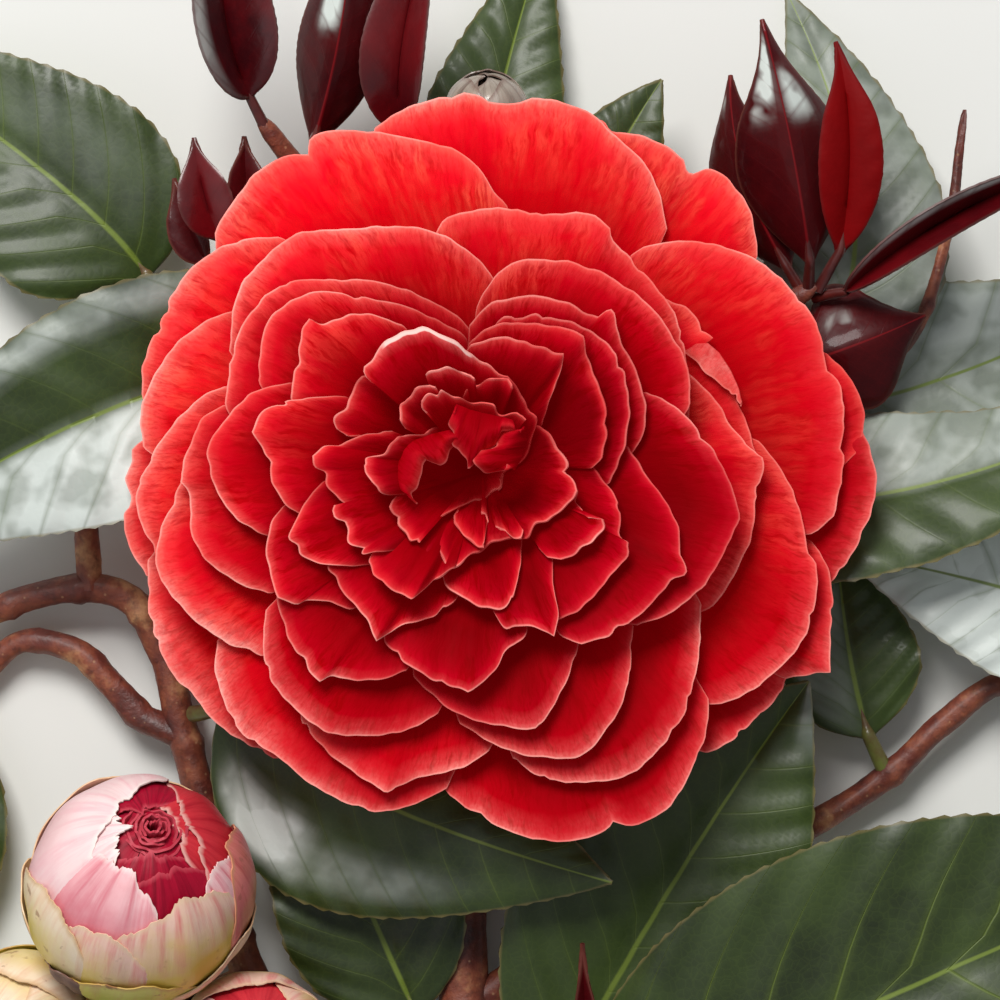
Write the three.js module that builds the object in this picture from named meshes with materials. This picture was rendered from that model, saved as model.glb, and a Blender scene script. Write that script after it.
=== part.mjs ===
// A cut camellia spray: one open double bloom on a woody stem, with flower buds, leathery
// green leaves and glossy young shoots. It lies on its back on a level surface, so that the
// bloom looks straight up.
// Millimetres. +Z is up, +Y runs from the cut end of the stem towards the young shoots at the
// top, and +X is to the right of someone who looks down on the bloom.

import * as THREE from "three";
import { mergeVertices } from "three/addons/utils/BufferGeometryUtils.js";

// Driving sizes of the bloom
const BLOOM_RADIUS = 44;
const BLOOM_AXIS = new THREE.Vector2(0, 4);
const BLOOM_UNDERSIDE = 13.6;
const BLOOM_DEPTH = 30.5;
const BLOOM_LOBES = 9;
const LOBE_DEPTH = 1.6;
const BLOOM_SEGMENTS = 36;
const RIM_WAVE = 0.9;

// Driving sizes of the calyx, the cup of scales that carries the bloom
const CALYX_FOOT = 9.5;
const CALYX_TOP = 13.2;
const CALYX_FOOT_RADIUS = 2.2;
const CALYX_RADIUS = 6.5;

// Driving sizes of the leaves
const LEAF_STEPS = 11;
const STALK_STEPS = 2;
const LEAF_SIDES = 8;
const LEAF_STALK_RADIUS = 0.95;
const LEAF_HALF_THICKNESS = 0.5;
const YOUNG_HALF_THICKNESS = 0.4;
const TIP_HALF_WIDTH = 0.35;
const OUTLINE_SKEW = 0.8;
const OUTLINE_FULLNESS = 0.84;
const TIP_TAPER = 0.22;

// Driving sizes of the stems and the flower buds
const STEM_SIDES = 8;
const NODE_SWELLING = 0.06;
const NODES_ON_A_STEM = 3;
const BUD_SEGMENTS = 14;

const CUT_END_Y = -100;

const finishes = {
  petal: { color: 0xc8102a, roughness: 0.62, metalness: 0 },
  green_leaf: { color: 0x24391f, roughness: 0.32, metalness: 0 },
  young_leaf: { color: 0x3d0a10, roughness: 0.2, metalness: 0 },
  bark: { color: 0x5b3424, roughness: 0.75, metalness: 0 },
  bud_scale: { color: 0xe3b79c, roughness: 0.55, metalness: 0 },
};

const spray = new THREE.Group();
spray.name = "camellia_spray";

function spot(x, y, z) {
  return new THREE.Vector3(x, y, z);
}

function addPiece(name, finish, shape) {
  const piece = new THREE.Mesh(shape, new THREE.MeshStandardMaterial(finishes[finish]));
  piece.name = name;
  spray.add(piece);
  return piece;
}

// A closed round bar, whose points are carried to new places by the function `place`. It gets
// how far along the bar a point is, from 0 to 1, and where it is in the round section.
function bentBar(sides, steps, place) {
  const bar = new THREE.CylinderGeometry(1, 1, 1, sides, steps);
  bar.deleteAttribute("normal");
  bar.deleteAttribute("uv");
  const spots = bar.getAttribute("position");
  for (let i = 0; i < spots.count; i++) {
    const to = place(spots.getY(i) + 0.5, spots.getX(i), spots.getZ(i));
    spots.setXYZ(i, to.x, to.y, to.z);
  }
  const shape = mergeVertices(bar, 1e-5);
  shape.computeVertexNormals();
  return shape;
}

// A stem or twig: a round limb along a smooth curve, which tapers from one radius to the other
// and swells a little at its nodes.
function addLimb(name, path, startRadius, endRadius, steps = 10) {
  const curve = new THREE.CatmullRomCurve3(path, false, "centripetal");
  const frames = curve.computeFrenetFrames(steps);
  const shape = bentBar(STEM_SIDES, steps, (along, across, over) => {
    const step = Math.round(along * steps);
    const swelling = 1 + NODE_SWELLING * Math.cos(2 * Math.PI * NODES_ON_A_STEM * along);
    const radius = THREE.MathUtils.lerp(startRadius, endRadius, along) * swelling;
    return curve
      .getPointAt(along)
      .addScaledVector(frames.binormals[step], across * radius)
      .addScaledVector(frames.normals[step], over * radius);
  });
  return addPiece(name, "bark", shape);
}

// Half the width of a leaf blade, as a share of its widest place: an ellipse that is widest a
// little below its middle and narrows to a drawn-out tip.
function bladeOutline(along) {
  const ellipse = Math.sin(Math.PI * Math.pow(along, OUTLINE_SKEW));
  return Math.pow(ellipse, OUTLINE_FULLNESS) * (1 - TIP_TAPER * along * along);
}

// A leaf with its stalk, as one thin curved body. `stalk` is where the stalk leaves the stem, and
// the midrib runs from `base` through `middle` to `tip`. `fold` lifts both halves about the
// midrib, and `roll` lowers the right half and lifts the left one, in degrees.
function addLeaf(name, finish, leaf) {
  const { stalk, base, middle, tip, width } = leaf;
  const fold = THREE.MathUtils.degToRad(leaf.fold ?? 0);
  const roll = THREE.MathUtils.degToRad(leaf.roll ?? 0);
  const thickness = finish === "young_leaf" ? YOUNG_HALF_THICKNESS : LEAF_HALF_THICKNESS;
  const bend = middle.clone().multiplyScalar(2).sub(base.clone().add(tip).multiplyScalar(0.5));
  const midrib = new THREE.QuadraticBezierCurve3(base, bend, tip);
  const stalkShare = STALK_STEPS / LEAF_STEPS;
  const shape = bentBar(LEAF_SIDES, LEAF_STEPS, (along, across, over) => {
    const onBlade = Math.max(0, (along - stalkShare) / (1 - stalkShare));
    const inStalk = Math.min(1, along / stalkShare);
    const centre = onBlade > 0 ? midrib.getPoint(onBlade) : stalk.clone().lerp(base, inStalk);
    const forward = midrib.getTangent(onBlade);
    const level = spot(0, 0, 1).addScaledVector(forward, -forward.z).normalize();
    const sideways = forward.clone().cross(level);
    const right = sideways.clone().multiplyScalar(Math.cos(roll));
    right.addScaledVector(level, -Math.sin(roll));
    const up = level.multiplyScalar(Math.cos(roll)).addScaledVector(sideways, Math.sin(roll));
    const narrowest = THREE.MathUtils.lerp(LEAF_STALK_RADIUS, TIP_HALF_WIDTH, onBlade);
    const halfWidth = Math.max(narrowest, (width / 2) * bladeOutline(onBlade));
    const isBlade = Math.min(1, (halfWidth - narrowest) / 2);
    const halfHeight = THREE.MathUtils.lerp(narrowest, thickness, isBlade);
    const spread = across * halfWidth;
    const lift = Math.abs(across) * halfWidth * Math.sin(fold) * isBlade;
    return centre
      .addScaledVector(right, spread * THREE.MathUtils.lerp(1, Math.cos(fold), isBlade))
      .addScaledVector(up, lift + over * halfHeight);
  });
  return addPiece(name, finish, shape);
}

// The profile of a flower bud from its foot to its tip, as shares of its radius.
const BUD_PROFILE = [
  [0, -0.98],
  [0.34, -0.93],
  [0.68, -0.72],
  [0.92, -0.36],
  [1, 0.02],
  [0.93, 0.38],
  [0.72, 0.68],
  [0.38, 0.9],
  [0, 0.97],
];

function addBud(name, centre, radius, axis) {
  const profile = BUD_PROFILE.map(([out, up]) => new THREE.Vector2(out * radius, up * radius));
  const shape = new THREE.LatheGeometry(profile, BUD_SEGMENTS);
  shape.rotateX(Math.PI / 2);
  shape.applyQuaternion(
    new THREE.Quaternion().setFromUnitVectors(spot(0, 0, 1), axis.clone().normalize())
  );
  shape.translate(centre.x, centre.y, centre.z);
  return addPiece(name, "bud_scale", closed(shape));
}

// The lathe leaves a seam, which is closed by merging its points.
function closed(shape) {
  shape.deleteAttribute("normal");
  shape.deleteAttribute("uv");
  const merged = mergeVertices(shape, 1e-4);
  merged.computeVertexNormals();
  return merged;
}

// The bloom: a shallow bowl of packed petals, lobed round its rim, domed on top, with a slight
// hollow at its heart. Shares of the radius and of the depth, from the foot to the heart.
const BLOOM_PROFILE = [
  [0, 0],
  [0.17, 0.01],
  [0.4, 0.11],
  [0.66, 0.26],
  [0.88, 0.41],
  [1, 0.5],
  [0.99, 0.56],
  [0.9, 0.68],
  [0.74, 0.82],
  [0.54, 0.93],
  [0.34, 0.99],
  [0.17, 0.98],
  [0, 0.93],
];

function addBloom() {
  const profile = BLOOM_PROFILE.map(
    ([out, up]) => new THREE.Vector2(out * BLOOM_RADIUS, up * BLOOM_DEPTH)
  );
  const bowl = new THREE.LatheGeometry(profile, BLOOM_SEGMENTS);
  bowl.rotateX(Math.PI / 2);
  const spots = bowl.getAttribute("position");
  for (let i = 0; i < spots.count; i++) {
    const x = spots.getX(i);
    const y = spots.getY(i);
    const out = Math.hypot(x, y) / BLOOM_RADIUS;
    const turn = Math.atan2(y, x);
    const lobe = 1 + ((LOBE_DEPTH * out) / BLOOM_RADIUS) * Math.cos(BLOOM_LOBES * turn);
    const wave = RIM_WAVE * out * out * Math.sin(BLOOM_LOBES * turn + 1);
    spots.setXYZ(i, x * lobe, y * lobe, spots.getZ(i) + wave);
  }
  bowl.translate(BLOOM_AXIS.x, BLOOM_AXIS.y, BLOOM_UNDERSIDE);
  addPiece("bloom", "petal", closed(bowl));
}

function addCalyx() {
  const profile = [
    new THREE.Vector2(0, CALYX_FOOT),
    new THREE.Vector2(CALYX_FOOT_RADIUS, CALYX_FOOT),
    new THREE.Vector2(CALYX_RADIUS * 0.8, CALYX_FOOT + 1.3),
    new THREE.Vector2(CALYX_RADIUS, CALYX_TOP - 0.8),
    new THREE.Vector2(CALYX_RADIUS * 0.9, CALYX_TOP),
    new THREE.Vector2(0, CALYX_TOP),
  ];
  const cup = new THREE.LatheGeometry(profile, BUD_SEGMENTS);
  cup.rotateX(Math.PI / 2);
  cup.translate(BLOOM_AXIS.x, BLOOM_AXIS.y, 0);
  addPiece("calyx", "bud_scale", closed(cup));
}

// Stems. The main stem runs from its flat cut end to the fork under the bloom, and the shoots
// and twigs leave it there and lower down.
addLimb(
  "main_stem",
  [
    spot(-3, CUT_END_Y, 3.6),
    spot(-3, -92, 3.6),
    spot(-4, -76, 4.4),
    spot(-4.6, -56, 5),
    spot(-3, -26, 5.6),
    spot(-0.5, 4, 6.6),
    spot(0, 19, 7.2),
  ],
  3.5,
  2.1,
  14
);
addLimb(
  "left_twig",
  [
    spot(-8.7, -87.2, 4.6),
    spot(-20, -76, 4.6),
    spot(-31, -60, 4.8),
    spot(-35.6, -43, 5.2),
    spot(-39.6, -29, 5.4),
    spot(-41.6, -20, 5.6),
  ],
  2.5,
  1.9
);
addLimb(
  "left_fork_upper",
  [
    spot(-41.9, -19.3, 5.6),
    spot(-45.2, -13.2, 6.4),
    spot(-51, -10.9, 6.8),
    spot(-60, -12.6, 6),
    spot(-69, -17, 4.6),
  ],
  2,
  1.5,
  8
);
addLimb(
  "left_fork_lower",
  [
    spot(-43, -28, 5.1),
    spot(-45, -27, 5),
    spot(-48.6, -23, 5),
    spot(-53, -18.9, 4.8),
    spot(-60, -17.8, 3.6),
    spot(-65.5, -22.4, 3.2),
  ],
  1.8,
  1.4,
  8
);
addLimb(
  "left_riser",
  [spot(-51.2, -8.7, 7.2), spot(-51.4, -2, 7.6), spot(-50, 10, 8), spot(-44.5, 22, 8)],
  1.6,
  1.1,
  6
);
addLimb(
  "right_twig",
  [
    spot(0, -60.6, 4.6),
    spot(7, -55.5, 4.4),
    spot(24, -48, 4.2),
    spot(38.4, -41, 4.2),
    spot(48.6, -34.4, 4.4),
    spot(55.4, -28, 4.6),
    spot(64, -22.5, 4.8),
    spot(80, -22.6, 5),
    spot(92, -24.4, 5),
  ],
  1.9,
  1.3,
  12
);
addLimb(
  "left_shoot_stem",
  [spot(-2.4, 20.6, 8), spot(-13, 30.5, 12.5), spot(-23.6, 39.6, 18), spot(-28.6, 45.6, 21)],
  1.7,
  1.1,
  6
);
addLimb(
  "left_shoot_spur",
  [spot(-21.2, 34, 14.4), spot(-26, 31.6, 15.6), spot(-32.6, 29.8, 17.4)],
  1.1,
  0.9,
  4
);
addLimb(
  "right_shoot_stem",
  [spot(2.6, 17.6, 8), spot(19, 21.6, 12.6), spot(32.4, 23, 16.6), spot(37.6, 25.6, 19)],
  1.7,
  1.2,
  6
);
addLimb(
  "far_shoot",
  [
    spot(37.6, 21.4, 15.2),
    spot(45, 16.6, 15.4),
    spot(51, 20.6, 15.2),
    spot(55, 33, 14.8),
    spot(57, 46.8, 14.4),
  ],
  0.9,
  0.5,
  8
);
addLimb(
  "top_bud_stalk",
  [spot(0, 20.6, 9.4), spot(-1, 30, 12.2), spot(-1.6, 41.3, 16.7)],
  1.2,
  0.9,
  5
);

// Stalks of the three flower buds at the lower left
addLimb(
  "main_bud_stalk",
  [spot(-36.8, -50, 7), spot(-42, -54.6, 9), spot(-45.3, -55.2, 11.4)],
  1.5,
  1.7,
  4
);
addLimb(
  "left_bud_stalk",
  [spot(-33.6, -60.4, 4), spot(-44, -64.6, 4.4), spot(-53.4, -66, 6.6)],
  1.4,
  1.5,
  5
);
addLimb(
  "right_bud_stalk",
  [spot(-22.6, -77.6, 6.2), spot(-27, -79, 7), spot(-30.8, -77, 7.6), spot(-31.4, -74.6, 8.9)],
  1.3,
  1.4,
  4
);

// Flower buds
addBud("main_bud", spot(-43.6, -46.8, 24), 13.8, spot(0.16, 0.59, 0.79));
addBud("left_bud", spot(-58.6, -64.6, 15.6), 9.4, spot(-0.4, 0.1, 0.9));
addBud("right_bud", spot(-30, -68.4, 19.7), 11.2, spot(0.1, 0.45, 0.88));
addBud("top_bud", spot(-1.6, 46.8, 19), 5.6, spot(0, 0.85, 0.4));

addCalyx();
addBloom();

// Leathery green leaves
const greenLeaves = {
  leaf_lower_right: {
    stalk: spot(-0.1, -80.2, 5.6), base: spot(6, -75, 8),
    middle: spot(22, -46, 14.6), tip: spot(37.8, -22.2, 16.6),
    width: 36, fold: 8,
  },
  leaf_front_right: {
    stalk: spot(-0.4, -86, 6), base: spot(8, -80.6, 12),
    middle: spot(50.6, -57.6, 29.6), tip: spot(89, -43, 18),
    width: 43, fold: 9, roll: -4,
  },
  leaf_under_bloom: {
    stalk: spot(-38, -26.6, 7.8), base: spot(-34.4, -25.8, 12),
    middle: spot(-15, -36.8, 19.2), tip: spot(13.6, -46.4, 22),
    width: 33, fold: -14,
  },
  leaf_bottom_dark: {
    stalk: spot(-8.4, -67.6, 6), base: spot(-10.4, -64, 7),
    middle: spot(-17.8, -47, 9.4), tip: spot(-28, -22, 7.6),
    width: 24, fold: 9,
  },
  leaf_left: {
    stalk: spot(-8.2, 22.8, 9.6), base: spot(-17, 19.6, 12.2),
    middle: spot(-50, 10, 19.8), tip: spot(-80, -7, 9),
    width: 30, fold: 14,
  },
  leaf_left_back: {
    stalk: spot(-44.3, 23.3, 7.9), base: spot(-44, 28, 6.4),
    middle: spot(-57, 41, 8), tip: spot(-84, 60, 1.2),
    width: 28, fold: 8,
  },
  leaf_right_upper: {
    stalk: spot(2.4, 9.4, 6.6), base: spot(9, 10, 8),
    middle: spot(46, 12.4, 10.2), tip: spot(84, 29, 1.6),
    width: 32, fold: 8,
  },
  leaf_right_middle: {
    stalk: spot(2, 0.6, 8.2), base: spot(9, 0.4, 11.6),
    middle: spot(48, 1, 17.4), tip: spot(84, 15, 13),
    width: 23, fold: 6, roll: -26,
  },
  leaf_right_lower: {
    stalk: spot(92.4, -22, 6), base: spot(88, -19, 7.6),
    middle: spot(65, -11.6, 11), tip: spot(42, -6.4, 11.6),
    width: 24, fold: 6,
  },
  leaf_right_back: {
    stalk: spot(47, -32, 5), base: spot(46, -29.4, 6),
    middle: spot(43.4, -18, 6.4), tip: spot(42, -4, 5.4),
    width: 18, fold: 6,
  },
  leaf_top_right_back: {
    stalk: spot(34.6, 20.8, 13.6), base: spot(38.6, 17.6, 13.2),
    middle: spot(43.8, 36, 11.8), tip: spot(36, 64, 1.4),
    width: 24, fold: 2,
  },
  leaf_top: {
    stalk: spot(-2.6, 19.4, 5.4), base: spot(-4.4, 23.6, 5.6),
    middle: spot(-1, 46, 6.8), tip: spot(6, 72, 1.2),
    width: 20, fold: 9,
  },
  leaf_top_small: {
    stalk: spot(2, 21, 5.6), base: spot(6.4, 25.2, 7),
    middle: spot(13, 40, 11), tip: spot(20, 52, 11),
    width: 15, fold: 6,
  },
  leaf_far_left_upper: {
    stalk: spot(-69.8, -17.7, 4.6), base: spot(-73.4, -20.4, 5),
    middle: spot(-88, -28, 7.4), tip: spot(-104, -42, 1.4),
    width: 27, fold: 8,
  },
  leaf_far_left_lower: {
    stalk: spot(-66, -23.3, 3.3), base: spot(-67.6, -27, 4),
    middle: spot(-76, -47, 5.2), tip: spot(-84, -68, 1.2),
    width: 26, fold: 8,
  },
  leaf_below_buds: {
    stalk: spot(-23.4, -78.6, 4), base: spot(-27, -81.4, 4),
    middle: spot(-45, -87, 5.4), tip: spot(-70, -90, 1.2),
    width: 26, fold: 7,
  },
  leaf_far_right: {
    stalk: spot(92.9, -25.3, 4.8), base: spot(93.6, -30, 5),
    middle: spot(99, -50, 8), tip: spot(96, -76, 1.2),
    width: 28, fold: 7,
  },
};
for (const [name, leaf] of Object.entries(greenLeaves)) {
  addLeaf(name, "green_leaf", leaf);
}

// Young leaves, still folded along their midribs
const youngLeaves = {
  left_young_leaf_outer: {
    stalk: spot(-29, 46.2, 21.4), base: spot(-30.4, 49, 22.6),
    middle: spot(-33.4, 60, 25), tip: spot(-34.6, 78, 22),
    width: 16, fold: 50, roll: 14,
  },
  left_young_leaf_middle: {
    stalk: spot(-21.4, 39.6, 19), base: spot(-22.6, 43.4, 22),
    middle: spot(-19, 58, 26), tip: spot(-17.6, 74, 23),
    width: 15, fold: -45,
  },
  left_young_leaf_inner: {
    stalk: spot(-11.4, 31.6, 13.6), base: spot(-12, 45, 19),
    middle: spot(-11.6, 57, 22), tip: spot(-7, 73, 20),
    width: 12, fold: 45, roll: -16,
  },
  left_bract_long: {
    stalk: spot(-33.2, 30.4, 18.6), base: spot(-34.2, 32, 19.8),
    middle: spot(-36, 37.4, 21.4), tip: spot(-37.2, 44, 21.2),
    width: 8, fold: 30,
  },
  left_bract_low: {
    stalk: spot(-34, 28.8, 17), base: spot(-35.8, 29, 16.8),
    middle: spot(-38.2, 33.4, 16.8), tip: spot(-40, 39.4, 16.4),
    width: 6, fold: 30, roll: -20,
  },
  left_bract_high: {
    stalk: spot(-30.6, 31.9, 17.5), base: spot(-30.6, 34, 18.2),
    middle: spot(-31, 38.8, 18.6), tip: spot(-31.2, 44.4, 18.6),
    width: 6, fold: 30, roll: 10,
  },
  right_young_leaf_left: {
    stalk: spot(36, 26.8, 18.2), base: spot(35, 28.4, 18.6),
    middle: spot(29.6, 40, 20), tip: spot(28.2, 52, 17),
    width: 15, fold: -40, roll: -14,
  },
  right_young_leaf_tall: {
    stalk: spot(37.6, 27, 20.2), base: spot(37.6, 29, 22),
    middle: spot(35, 43, 26.6), tip: spot(31.6, 58, 25),
    width: 18, fold: -40,
  },
  right_young_leaf_crimson: {
    stalk: spot(39.4, 26.8, 19.4), base: spot(41.4, 30.4, 21),
    middle: spot(43, 43.4, 24.6), tip: spot(40.6, 55.4, 24),
    width: 12, fold: 34, roll: 10,
  },
  right_young_leaf_arched: {
    stalk: spot(39.6, 25, 18.2), base: spot(42, 25.4, 19.6),
    middle: spot(56, 35, 24), tip: spot(74, 42, 18),
    width: 12, fold: 68,
  },
  right_young_leaf_drooping: {
    stalk: spot(33.4, 21.2, 18), base: spot(36.6, 16.6, 18.6),
    middle: spot(44.6, 19.4, 20), tip: spot(52, 22.6, 17.6),
    width: 15, fold: -26,
  },
  lower_young_spike: {
    stalk: spot(0.9, -92, 6.6), base: spot(12, -76.6, 18.6),
    middle: spot(10.6, -65, 20), tip: spot(10, -53.8, 22),
    width: 6, fold: 50,
  },
};
for (const [name, leaf] of Object.entries(youngLeaves)) {
  addLeaf(name, "young_leaf", leaf);
}

// The origin is at the bottom centre of the whole spray's box.
const box = new THREE.Box3().setFromObject(spray, true);
const middle = box.getCenter(new THREE.Vector3());
spray.position.set(-middle.x, -middle.y, -box.min.z);
spray.updateMatrixWorld(true);

export default spray;
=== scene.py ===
# %% [markdown]
# # A cut camellia spray
#
# This lesson builds the looks of a cut camellia spray that lies on its back: one large open double
# bloom, flower buds, leathery green leaves and glossy maroon young shoots on a forked woody stem.
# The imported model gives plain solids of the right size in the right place. Here each of them gives
# way to thin modelled petals, leaf blades, bud scales and bark.

# %% Load the frame
import math
import random

import bpy
import numpy as np
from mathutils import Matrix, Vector


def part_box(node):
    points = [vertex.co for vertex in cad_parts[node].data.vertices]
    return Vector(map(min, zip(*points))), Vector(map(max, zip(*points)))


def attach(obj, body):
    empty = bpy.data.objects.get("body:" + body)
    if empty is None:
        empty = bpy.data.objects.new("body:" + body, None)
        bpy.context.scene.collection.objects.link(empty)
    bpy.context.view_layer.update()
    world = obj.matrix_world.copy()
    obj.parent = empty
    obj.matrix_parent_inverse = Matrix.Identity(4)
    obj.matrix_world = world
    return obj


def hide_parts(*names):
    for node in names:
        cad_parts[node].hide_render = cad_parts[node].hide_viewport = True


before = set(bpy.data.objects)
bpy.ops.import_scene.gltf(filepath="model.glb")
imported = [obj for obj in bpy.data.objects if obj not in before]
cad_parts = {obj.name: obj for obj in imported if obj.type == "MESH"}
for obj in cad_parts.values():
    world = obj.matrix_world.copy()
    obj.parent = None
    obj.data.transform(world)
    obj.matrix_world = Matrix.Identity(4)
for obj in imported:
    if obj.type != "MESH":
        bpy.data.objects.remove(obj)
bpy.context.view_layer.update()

# %% [markdown]
# ## Millimetres, and where the spray's own zero lies
#
# A plant is easier to think about in millimetres, measured from the photograph's middle. The frame
# is in metres, measured from the middle of the whole spray. The calyx is round and sits under the
# bloom's middle, so its box tells how far the one is shifted from the other.

# %% From spray millimetres to frame metres
MM = 0.001
CALYX_CENTRE_MM = (0.0, 4.0)
CALYX_BOTTOM_MM = 9.5
calyx_low, calyx_high = (np.array(corner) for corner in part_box("calyx"))
calyx_middle = (calyx_low + calyx_high) / 2
SHIFT = np.array([
    calyx_middle[0] - CALYX_CENTRE_MM[0] * MM,
    calyx_middle[1] - CALYX_CENTRE_MM[1] * MM,
    calyx_low[2] - CALYX_BOTTOM_MM * MM,
])


def to_frame(points_mm):
    """Points in spray millimetres as points in frame metres."""
    return np.asarray(points_mm, float) * MM + SHIFT


print("the spray's zero lies at", np.round(SHIFT, 5), "m")

# %% [markdown]
# ## The camera
#
# The bloom faces up, so the photograph's view is from straight above. A long lens half a metre
# away gives the same flat perspective. A point that lies nearer to the camera looks further from
# the middle: `spot` undoes that, and turns a place in the photograph and a height into a point.

# %% Camera and the photograph's scale
FOCUS_HEIGHT = 28.0
CAMERA_DISTANCE = 550.0
CAMERA_LENS = 165.0
SENSOR = 36.0
PHOTO_PIXELS = 1000
MM_PER_PIXEL = SENSOR / CAMERA_LENS * CAMERA_DISTANCE / PHOTO_PIXELS
SIGHT_LIMIT_M = 20


def add_object(name, data):
    """A new object, made of a camera's, a lamp's or a mesh's data, in the scene."""
    made = bpy.data.objects.new(name, data)
    bpy.context.scene.collection.objects.link(made)
    return made


camera = add_object("camera", bpy.data.cameras.new("camera"))
camera.data.lens = CAMERA_LENS
camera.data.sensor_width = SENSOR
camera.data.clip_end = SIGHT_LIMIT_M
camera.location = to_frame((0, 0, FOCUS_HEIGHT + CAMERA_DISTANCE))
bpy.context.scene.camera = camera


def spot(places, height):
    """The points, in spray millimetres at that height, that the photograph shows at those pixels."""
    places = np.asarray(places, float)
    height = np.broadcast_to(np.asarray(height, float), places.shape[:1])
    nearer = (FOCUS_HEIGHT + CAMERA_DISTANCE - height) / CAMERA_DISTANCE
    x = (places[:, 0] - PHOTO_PIXELS / 2) * MM_PER_PIXEL * nearer
    y = (PHOTO_PIXELS / 2 - places[:, 1]) * MM_PER_PIXEL * nearer
    return np.stack([x, y, height], axis=1)


print("one pixel is", round(MM_PER_PIXEL, 4), "mm at the bloom")

# %% [markdown]
# ## Light and floor
#
# The flower stood outdoors under a bright sky that was strongest behind it. A large soft lamp
# beyond the spray's far end does that, a weaker one fills from the near left, and the pale world
# lifts the shadows. The plain display transform keeps reds as saturated as petals are.

# %% Lamps, world and floor
bpy.context.scene.view_settings.view_transform = "Standard"


def area_lamp(name, place_mm, size_mm, watts, colour):
    """A square soft lamp that shines at the bloom."""
    light = bpy.data.lights.new(name, "AREA")
    light.size = size_mm * MM
    light.energy = watts
    light.color = colour
    lamp = add_object(name, light)
    lamp.location = to_frame(place_mm)
    towards = Vector(to_frame((0, 0, FOCUS_HEIGHT))) - lamp.location
    lamp.rotation_euler = towards.to_track_quat("-Z", "Y").to_euler()


area_lamp("sky_lamp", (-190, 520, 760), 380, 8.8, (1.0, 0.985, 0.96))
area_lamp("fill_lamp", (-560, -260, 560), 620, 0.4, (0.95, 0.98, 1.0))

SKY_COLOUR = (0.93, 0.96, 1.0, 1)
SKY_STRENGTH = 0.3
world = bpy.data.worlds.new("pale_sky")
world.use_nodes = True
world.node_tree.nodes["Background"].inputs["Color"].default_value = SKY_COLOUR
world.node_tree.nodes["Background"].inputs["Strength"].default_value = SKY_STRENGTH
bpy.context.scene.world = world

FLOOR_HALF_M = 2.0
floor_corners = [(x * FLOOR_HALF_M, y * FLOOR_HALF_M, 0) for x, y in ((-1, -1), (1, -1), (1, 1), (-1, 1))]
floor_mesh = bpy.data.meshes.new("floor")
floor_mesh.from_pydata(floor_corners, [], [(0, 1, 2, 3)])
floor = add_object("floor", floor_mesh)
print("two lamps, the world and a floor", 2 * FLOOR_HALF_M, "m wide")

# %% [markdown]
# ## How materials are made here
#
# Every finish is a small tree of nodes. Short helpers keep the trees readable: `ink` turns everyday
# colour numbers into the linear ones that a shader wants, `node` adds a node and plugs its inputs,
# and the rest are sums and patterns that come back in each finish. A finish is then written from its
# patterns down to its colours, a line for each thing that one sees on the real surface.

# %% Material helpers
def ink(red, green, blue):
    """A colour given from 0 to 255, as linear light with an alpha of 1."""
    parts = [c / 255 for c in (red, green, blue)]
    return tuple(c / 12.92 if c < 0.04045 else ((c + 0.055) / 1.055) ** 2.4 for c in parts) + (1.0,)


def node(tree, kind, inputs=None, **settings):
    """Adds a shader node. An input is a number, a colour or another node's socket."""
    made = tree.nodes.new("ShaderNode" + kind)
    for name, value in settings.items():
        setattr(made, name, value)
    for key, value in (inputs or {}).items():
        if isinstance(value, bpy.types.NodeSocket):
            tree.links.new(value, made.inputs[key])
        else:
            made.inputs[key].default_value = value
    return made


def math_node(tree, operation, *values):
    """The result of one sum on sockets or numbers."""
    return node(tree, "Math", dict(enumerate(values)), operation=operation).outputs[0]


def times(tree, first, *others):
    """All the sockets or numbers multiplied together."""
    for other in others:
        first = math_node(tree, "MULTIPLY", first, other)
    return first


def grey(amount):
    """A stop of a ramp that stands for a number and not for a colour."""
    return (amount, amount, amount, 1)


def ramp(tree, factor, stops):
    """A colour that runs through the stops, each a place from 0 to 1 and a colour."""
    made = node(tree, "ValToRGB", {"Fac": factor})
    elements = made.color_ramp.elements
    while len(elements) < len(stops):
        elements.new(0.5)
    for element, (place, colour) in zip(elements, stops):
        element.position = place
        element.color = colour
    return made.outputs["Color"]


def span(tree, value, low, high, to_low=0.0, to_high=1.0):
    """The value, read between low and high, as a number between to_low and to_high."""
    inputs = {"Value": value, "From Min": low, "From Max": high, "To Min": to_low, "To Max": to_high}
    return node(tree, "MapRange", inputs).outputs["Result"]


def blend(tree, factor, first, second, mode="MIX"):
    """Two colours mixed by a factor."""
    made = node(tree, "Mix", data_type="RGBA", blend_type=mode)
    for socket, value in zip((made.inputs[0], made.inputs[6], made.inputs[7]), (factor, first, second)):
        if isinstance(value, bpy.types.NodeSocket):
            tree.links.new(value, socket)
        else:
            socket.default_value = value
    return made.outputs[2]


def uv(tree, layer):
    """The two numbers of a mesh's UV layer, as two sockets."""
    split = node(tree, "SeparateXYZ", {0: node(tree, "UVMap", uv_map=layer).outputs[0]})
    return split.outputs[0], split.outputs[1]


def surface_place(tree):
    """Where on its piece a point of the surface is, in metres."""
    return node(tree, "TexCoord").outputs["Object"]


def noise(tree, vector, scale, detail=3.0, roughness=0.5):
    """A cloudy pattern from 0 to 1."""
    inputs = {"Vector": vector, "Scale": scale, "Detail": detail, "Roughness": roughness}
    return node(tree, "TexNoise", inputs).outputs["Fac"]


def new_material(name, **settings):
    """A material, its tree and its main shader, whose plain settings are given by socket name."""
    material = bpy.data.materials.new(name)
    material.use_nodes = True
    tree = material.node_tree
    shader = tree.nodes["Principled BSDF"]
    for socket, value in settings.items():
        shader.inputs[socket.replace("_", " ")].default_value = value
    return material, tree, shader


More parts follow.
